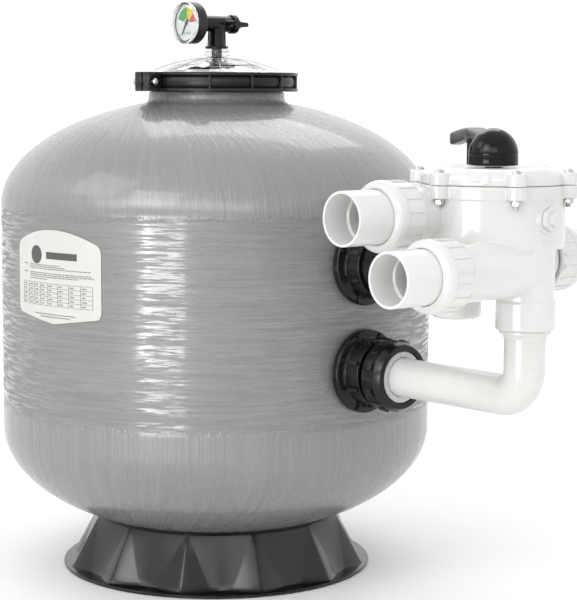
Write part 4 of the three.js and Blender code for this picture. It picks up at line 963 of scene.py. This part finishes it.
def elbow():
    lo, hi = node_box("elbow_pipe")
    z = middle("lower_lock_nut").z
    radius, bore, bend = 21.7, 18.5, 30.0
    x0, top = lo.x, hi.z

    def run(reach):
        """Middle line of the pipe, carried on past both ends by reach."""
        pts = [(x0 - reach, 0, z), (x0 + 40, 0, z), (OUTER_X - bend - 25, 0, z)]
        for k in range(25):
            a = (PI / 2) * k / 24
            pts.append((OUTER_X - bend + bend * sin(a), 0, z + bend - bend * cos(a)))
        return pts + [(OUTER_X, 0, top - 20), (OUTER_X, 0, top + reach)]

    body = carve(sweep(run(0), radius, 72), [sweep(run(4), bore, 48)])
    rim = turned_ring([(21.2, top - 4), (26.4, top - 4), (27, top - 3.2), (27, top), (21.2, top)], 0.5, 3, 96)
    cone = turned_ring([(21.4, top - 9), (22.2, top - 8.6), (24.2, top - 4), (21.4, top - 3.9)], 0.3, 2, 96)
    pipe = joined([body, moved(rim, shift(OUTER_X)), moved(cone, shift(OUTER_X))])
    piece("pipe_elbow", pipe, PIPE, "tank", ["elbow_pipe"], angle=35)
    ring_lo, ring_hi = node_box("lower_union_ring")
    length = ring_hi.x - ring_lo.x
    outline = [(22.3, 0), (30.4, 0), (30.4, 5), (28.8, 5.4), (28.8, length - 0.3), (26.6, length)]
    outline.append((22.3, length))
    ring = moved(turned_ring(outline, 0.5, 3, 96), along_x(ring_lo.x, z))
    piece("clear_collar", ring, FROST, "tank", ["lower_union_ring"])


bulkhead("lower")
bulkhead("upper")
elbow()


# ---------- valve ----------

LOBES = [rad(30 + 60 * k) for k in range(6)]
LOBE_R, BOLT_R = 10, 80
UNIONS = ("pump_union", "return_union", "waste_union")


def upright(x, profile, segs=96):
    return moved(lathe(profile, segs), shift(x))


def facing(node):
    """Which way a union faces along Y, and how far its rear is from the valve's centre plane."""
    lo, hi = node_box(node)
    return (1 if lo.y + hi.y > 0 else -1), min(abs(lo.y), abs(hi.y))


def sideways(node, distance=0, x_axis=(1, 0, 0)):
    """Placement along a union's axis, at a distance from the valve's centre plane."""
    mid, side = middle(node), facing(node)[0]
    return turn_to((mid.x, side * distance, mid.z), (0, side, 0), x_axis)


def stub(node, radius, start, reach, segs=96):
    """Side pipe towards a union, from the valve's centre plane."""
    pipe = turned([(0, start), (radius, start), (radius, reach), (0, reach)], 0.6, 2, segs)
    return moved(pipe, sideways(node))


def gap_ring(node):
    """Shadow gap just behind a union nut, as a ring cutter."""
    z0, z1 = facing(node)[1] - 1.5, facing(node)[1] + 0.7
    return moved(lathe([(27.6, z0), (36, z0), (36, z1), (27.6, z1)], 96, True), sideways(node))


def lobes(z0, z1, near, z_block, soft, segs):
    """The six round bosses for the bolts, each with a block that ties it to the middle."""
    parts = []
    for a in LOBES:
        boss = turned([(0, z0), (LOBE_R, z0), (LOBE_R, z1), (0, z1)], *soft, segs)
        parts.append(moved(boss, shift(VX + BOLT_R * cos(a), BOLT_R * sin(a))))
        parts.append(moved(block(near, BOLT_R, -LOBE_R, LOBE_R, z0, z_block), shift(VX) @ spin(a)))
    return parts


def valve_body():
    top, bottom, ledge = node_box("valve_body")[1].z, 428.0, 480.5
    outline = [(0, bottom), (76.5, bottom), (76.5, ledge), (77.4, ledge), (77.4, top), (0, top)]
    parts = [upright(VX, rounded(outline, 2.2, 4), 160)] + lobes(ledge, top, 60, top, (0.5, 2), 40)
    # the two pipes that leave the chamber's floor, the outer one with its collar
    low, inner_x = bottom + 8, TX + 413
    parts.append(upright(OUTER_X, rounded([(0, 374), (29.5, 374), (29.5, low), (0, low)], 0.5, 2)))
    outline = [(0, 345), (30.4, 345), (31, 346), (31, 373.6), (30.2, 375), (0, 375)]
    parts.append(upright(OUTER_X, rounded(outline, 0.5, 3)))
    outline = [(0, 347), (20, 347), (26.2, 349.4), (27, 356), (27, low), (0, low)]
    parts.append(upright(inner_x, rounded(outline, 2.4, 4)))
    end = node_box("upper_bulkhead")[1].x
    parts.append(moved(rod(28, 0.4, inner_x - end, 96), along_x(end, middle("upper_lock_nut").z)))
    cuts = []
    for name in UNIONS:
        nut = f"{name}_nut"
        rear = facing(nut)[1]
        parts += [stub(nut, 29.4, 0.0, rear + 14.9), stub(nut, 31.4, rear - 5.0, rear - 1.6)]
        cuts += [stub(nut, 24.0, 8.0, 160.0, 64), gap_ring(nut)]
    # boss for the side plug
    root, boss_end = VX + 73, TX + 542.7
    boss = turned([(0, -12), (15.5, -12), (15.5, boss_end - root), (0, boss_end - root)], 0.7, 3, 64)
    parts.append(moved(boss, along_x(root, middle("valve_plug").z)))
    bm = carve(fused(parts, 0.85, 3, 0.5), cuts)
    piece("valve_casting", bm, WHITE, "tank", ["valve_body"], angle=45)


def valve_cover():
    lo, hi = node_box("valve_cover")
    base, top = lo.z, hi.z
    flange_top = 507.5
    outline = [(9.6, top - 8), (9.6, top - 1.4), (11, top - 0.9), (60, top - 0.6), (62, top - 0.2)]
    outline += [(66, top - 0.9), (71.5, flange_top + 1.0), (75.6, flange_top - 3.0), (76.7, flange_top - 7)]
    outline += [(76.7, base), (64, base), (64, top - 8), (9.6, top - 8)]
    parts = [upright(VX, rounded(outline, 1.0, 3), 160)]
    parts += lobes(base, flange_top, 64.5, flange_top - 0.1, (0.6, 3), 48)
    # small embossed disc and bar on the side
    out = turn_to((VX, 0, 500.6), (cos(rad(-57)), sin(rad(-57)), 0), (0, 0, 1))
    for dy, width, height in ((-6, 4.4, 4.4), (4, 5.2, 1.6)):
        pad = turned([(0, 70), (1, 70), (1, 77.4), (0, 77.4)], 0.2, 2, 40)
        pad = moved(pad, Matrix.Diagonal((height, width, 1, 1)))
        parts.append(moved(pad, out @ shift(0, dy, 0)))
    piece("valve_lid", fused(parts, 0.9, 3, 0.5), WHITE, "tank", ["valve_cover"], angle=45)


def cover_bolts():
    top, grip = 507.8, 480.2
    dome = [(0, top + 3.6), (2.4, top + 3.3), (4.7, top + 1.7), (5.5, top), (0, top)]
    washer = [(0, grip - 0.9), (5.9, grip - 0.9), (5.9, grip), (0, grip)]
    for i, a in enumerate(LOBES):
        name = f"cover_bolt_{i + 1}"
        mid = middle(name)
        slot = (-0.7, 0.7, -2.9, 2.9, top + 1.9, top + 6)
        cross = [moved(block(*slot), spin(a + k * PI / 2)) for k in range(2)]
        parts = [carve(turned(dome, 0.5, 3, 48), cross), threaded(2.8, grip - 9, top + 0.4)]
        parts += [moved(hexagon(5.6, grip - 5, grip - 0.9), spin(a)), turned(washer, 0.2, 2, 40)]
        bolt = moved(joined(parts), shift(mid.x, mid.y))
        piece(f"cover_screw_{i + 1}", bolt, STEEL, "tank", [name])


def plug():
    base = TX + 543
    end = node_box("valve_plug")[1].x - base
    parts = [hexagon(13.4, 0, 4.8, 0.9), hexagon(7.8, 4, end, 0.7), rod(4.5, -12, 1, 32)]
    bm = moved(joined(parts), along_x(base, middle("valve_plug").z))
    piece("side_plug", bm, WHITE, "tank", ["valve_plug"], bevel=0.35)


def union(name):
    rear = facing(f"{name}_nut")[1]
    soc_lo, soc_hi = node_box(f"{name}_socket")
    at = sideways(f"{name}_nut", rear, (0, 0, 1))
    reach = max(abs(soc_lo.y), abs(soc_hi.y)) - rear
    outline = [(22, 18.7), (29, 18.7), (29, 22.4), (28.2, 22.9), (28.2, reach - 0.2), (25.3, reach - 0.2)]
    outline += [(24.9, reach - 30.5), (22, reach - 31)]
    socket = moved(turned_ring(outline, 0.7, 3, 128), at)
    piece(f"{name}_sleeve", socket, WHITE, "tank", [f"{name}_socket"])
    outline = [(30.0, 0.6), (35.0, 0), (36.2, 1.2), (36.2, 24.8), (37.4, 26.2), (37.5, 31.5), (36.4, 35.6)]
    outline += [(33.4, 38.6), (30.4, 39.5), (28.7, 39.3), (28.7, 23.6), (30.0, 23.4)]
    ribs = around(16, 0.5, lambda: soft_block(35, 37.4, -1.7, 1.7, 3.4, 26.4, 0.5))
    tabs = around(8, 0.25, lambda: soft_block(34.6, 36.9, -4.4, 4.4, 0.6, 2.9, 0.5))
    nut = moved(joined([turned_ring(outline, 0.8, 4, 144)] + ribs + tabs), at)
    piece(f"{name}_collar", nut, WHITE, name.replace("_union", "_nut"), [f"{name}_nut"])


valve_body()
valve_cover()
cover_bolts()
plug()
for name in UNIONS:
    union(name)


# ---------- handle ----------

LEVER_ANGLE = rad(155)
LEVER_ROOT, LEVER_TIP = 22, 108


def lever_heights(x):
    """Underside and top of the lever at distance x from its pivot."""
    t = (x - LEVER_ROOT) / (LEVER_TIP - LEVER_ROOT)
    if t < 0.35:
        u = t / 0.35
        return 517.5 + 20 * u ** 1.5, 541 + 10.5 * sin(u * PI / 2)
    u = (t - 0.35) / 0.65
    return 537.5 - 6.5 * u ** 1.4, 551.5 - 6.5 * u ** 1.6


def handle():
    cap_lo, cap_hi = node_box("handle_cap")
    base, top = cap_lo.z, cap_hi.z
    at = shift(VX) @ spin(LEVER_ANGLE)
    wall, shoulder = 3.4, 524.4
    turns = [PI / 2 * k / 16 for k in range(17)]
    egg = [(26.3 * cos(a), shoulder + (top - shoulder) * sin(a)) for a in turns]
    shell = [(0, top - wall), (8, top - wall - 0.6), (15.6, 542.6), (20.8, 534), (22.6, 524), (22.9, base)]
    shell += [(25.8, base), (26.3, base + 0.6), (26.3, 523.6), (25.95, 524)] + egg[:-1] + [(0, top)]
    dome = carve(lathe(rounded(shell, 0.5, 2), 144), [block(0, 40, -14.5, 14.5, 500, 541.5)])
    piece("handle_dome", moved(dome, at), DOME, "lever", ["handle_cap"])
    # lever: arched arm that narrows to a turned-down tip
    bm = bmesh.new()
    rings = []
    steps, sides, square = 40, 20, 0.42
    for k in range(steps + 1):
        t = k / steps
        x = LEVER_ROOT + (LEVER_TIP - LEVER_ROOT) * t
        low_z, top_z = lever_heights(x)
        half = 13.4 - 5.2 * t * t * (3 - 2 * t)
        mid_z, half_z = (low_z + top_z) / 2, (top_z - low_z) / 2
        if k == steps:
            half, half_z = half - 1.2, half_z - 1.2
        ring = []
        for i in range(sides):
            c, n = cos(TAU * i / sides), sin(TAU * i / sides)
            y = half * math.copysign(abs(c) ** square, c)
            z = mid_z + half_z * math.copysign(abs(n) ** square, n)
            ring.append(bm.verts.new((x, y, z)))
        rings.append(ring)
    bridge(bm, rings)
    bm.faces.new(rings[0][::-1])
    bm.faces.new(rings[-1])
    bmesh.ops.recalc_face_normals(bm, faces=bm.faces)
    arm = carve(bm, [rod(26.6, 500, 560, 96)])
    outline = [(26.7, base), (29.3, base), (29.3, 539), (28.4, 541), (26.7, 541)]
    collar = carve(turned_ring(outline, 0.6, 3, 96), [block(-40, 19, -40, 40, 500, 560)])
    cheeks = [block(-9, 27, y0, y1, 518, 541) for y0, y1 in ((-13.2, -9.9), (9.9, 13.2))]
    arm = moved(joined([arm, collar] + cheeks), at)
    piece("handle_arm", arm, GREY, "lever", ["handle_lever"], bevel=0.4)
    marks = []
    for x in (70, 82):
        marks.append(moved(block(-3.4, 3.4, -2.4, 2.4, -0.6, 0.25), shift(x, 0, lever_heights(x)[1])))
    piece("handle_marks", moved(joined(marks), at), RUBBER, "lever")


def coil_spring():
    """Rotor spring, squeezed against the cover as the rotor lifts."""
    lo, hi = node_box("rotor_spring")
    wire, turns, per_turn = 2.0, 4, 32
    radius = (hi.x - lo.x) / 2 - wire
    z0, z1 = lo.z + wire, hi.z - wire
    count = turns * per_turn
    points = []
    for k in range(count + 1):
        a = TAU * k / per_turn
        points.append((VX + radius * cos(a), radius * sin(a), z0 + (z1 - z0) * k / count))
    wound = sweep(points, wire, 14, (0, 0, 1))
    coil = piece("rotor_coil", wound, STEEL, "selector", ["rotor_spring"])
    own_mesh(coil)


handle()
coil_spring()


# ---------- CAD pieces that stay, with their finishes ----------

def finish_node(name, material):
    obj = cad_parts[name]
    obj.data.materials.clear()
    obj.data.materials.append(material)
    for p in obj.data.polygons:
        p.material_index = 0


for name in ["inlet_diffuser", "lateral_hub"] + [f"lateral_{k}" for k in range(1, 7)]:
    finish_node(name, INNER)
for name in ["lid_seal", "cover_gasket", "spider_gasket"] + [f"{union_name}_seal" for union_name in UNIONS]:
    finish_node(name, RUBBER)
for name in ["handle_washer", "handle_pin"]:
    finish_node(name, STEEL)
finish_node("rotor", BLACK)


# ---------- floor, light and camera ----------

def studio():
    floor = temp_object(lathe([(0, 0), (9000, 0)], 64), "floor")
    floor.data.transform(Matrix.Scale(0.001, 4))
    floor.location.z = -0.0005
    p = Paint("pale_floor")
    tone = p.mix(p.ramp(p.noise(3, 3, 0.5), 0.3, 0.7), (0.955, 0.955, 0.95, 1), (0.98, 0.98, 0.975, 1))
    p.set(color=tone, rough=0.6)
    floor.data.materials.append(p.mat)
    world = bpy.data.worlds.new("studio")
    bpy.context.scene.world = world
    world.use_nodes = True
    # white all round, brighter in a band above the horizon and softer overhead
    nodes, links = world.node_tree.nodes, world.node_tree.links
    split = nodes.new("ShaderNodeSeparateXYZ")
    links.new(nodes.new("ShaderNodeTexCoord").outputs["Generated"], split.inputs[0])
    sky = nodes.new("ShaderNodeValToRGB")
    links.new(split.outputs[2], sky.inputs[0])
    stops = sky.color_ramp.elements
    for place, value in ((0.0, 0.82), (0.10, 0.84), (0.18, 1.0), (0.50, 1.0), (0.66, 0.78), (1.0, 0.76)):
        stop = stops.new(place)
        stop.color = (value, value, value, 1)
    stops.remove(stops[0])
    stops.remove(stops[-1])
    links.new(sky.outputs[0], nodes["Background"].inputs[0])
    nodes["Background"].inputs[1].default_value = 1.24

    def area(name, place, target, size, size_y, glow, gloss_only=False):
        """Soft box; glow is its radiance, so its power grows with its size."""
        light = bpy.data.lights.new(name, "AREA")
        light.shape = "RECTANGLE"
        light.size, light.size_y, light.energy = size, size_y, glow * PI * size * size_y
        obj = bpy.data.objects.new(name, light)
        obj.location = place
        obj.rotation_euler = (Vector(target) - Vector(place)).to_track_quat("-Z", "Y").to_euler()
        obj.visible_camera = False
        obj.visible_diffuse = not gloss_only
        bpy.context.scene.collection.objects.link(obj)

    area("key", (0.5, -2.0, 1.6), (0.0, 0, 0.35), 1.0, 1.0, 4.5)
    area("strip", (0.58, -1.58, 0.17), (0.02, -0.21, 0.33), 0.72, 0.62, 8.5, True)
    area("core", (0.40, -1.70, 0.17), (0.004, -0.22, 0.33), 0.12, 0.62, 9, True)
    area("band", (0.64, -1.47, 1.05), (-0.144, 0, 0.45), 2.8, 0.42, 2.6, True)
    area("side", (-0.68, -1.46, 1.66), (-0.144, 0, 0.1), 0.9, 0.9, 2.4, True)
    area("top", (-0.9, 0.9, 1.9), (-0.144, 0, 0.5), 1.4, 0.9, 2.5, True)


def camera():
    """Camera solved from the ellipses and the uprights of the tank and the valve."""
    data = bpy.data.cameras.new("camera")
    data.lens = 109.11
    data.sensor_width = 36
    obj = bpy.data.objects.new("camera", data)
    bpy.context.scene.collection.objects.link(obj)
    forward = Vector((-0.74976, 0.65176, -0.11433))
    turn = forward.to_track_quat("-Z", "Y").to_matrix().to_4x4() @ Matrix.Rotation(rad(0.26), 4, "Z")
    obj.matrix_world = Matrix.Translation((1.62097, -1.41526, 0.58977)) @ turn
    bpy.context.scene.camera = obj


studio()
camera()
bpy.context.scene.view_settings.view_transform = "Standard"
bpy.context.scene.view_settings.look = "None"
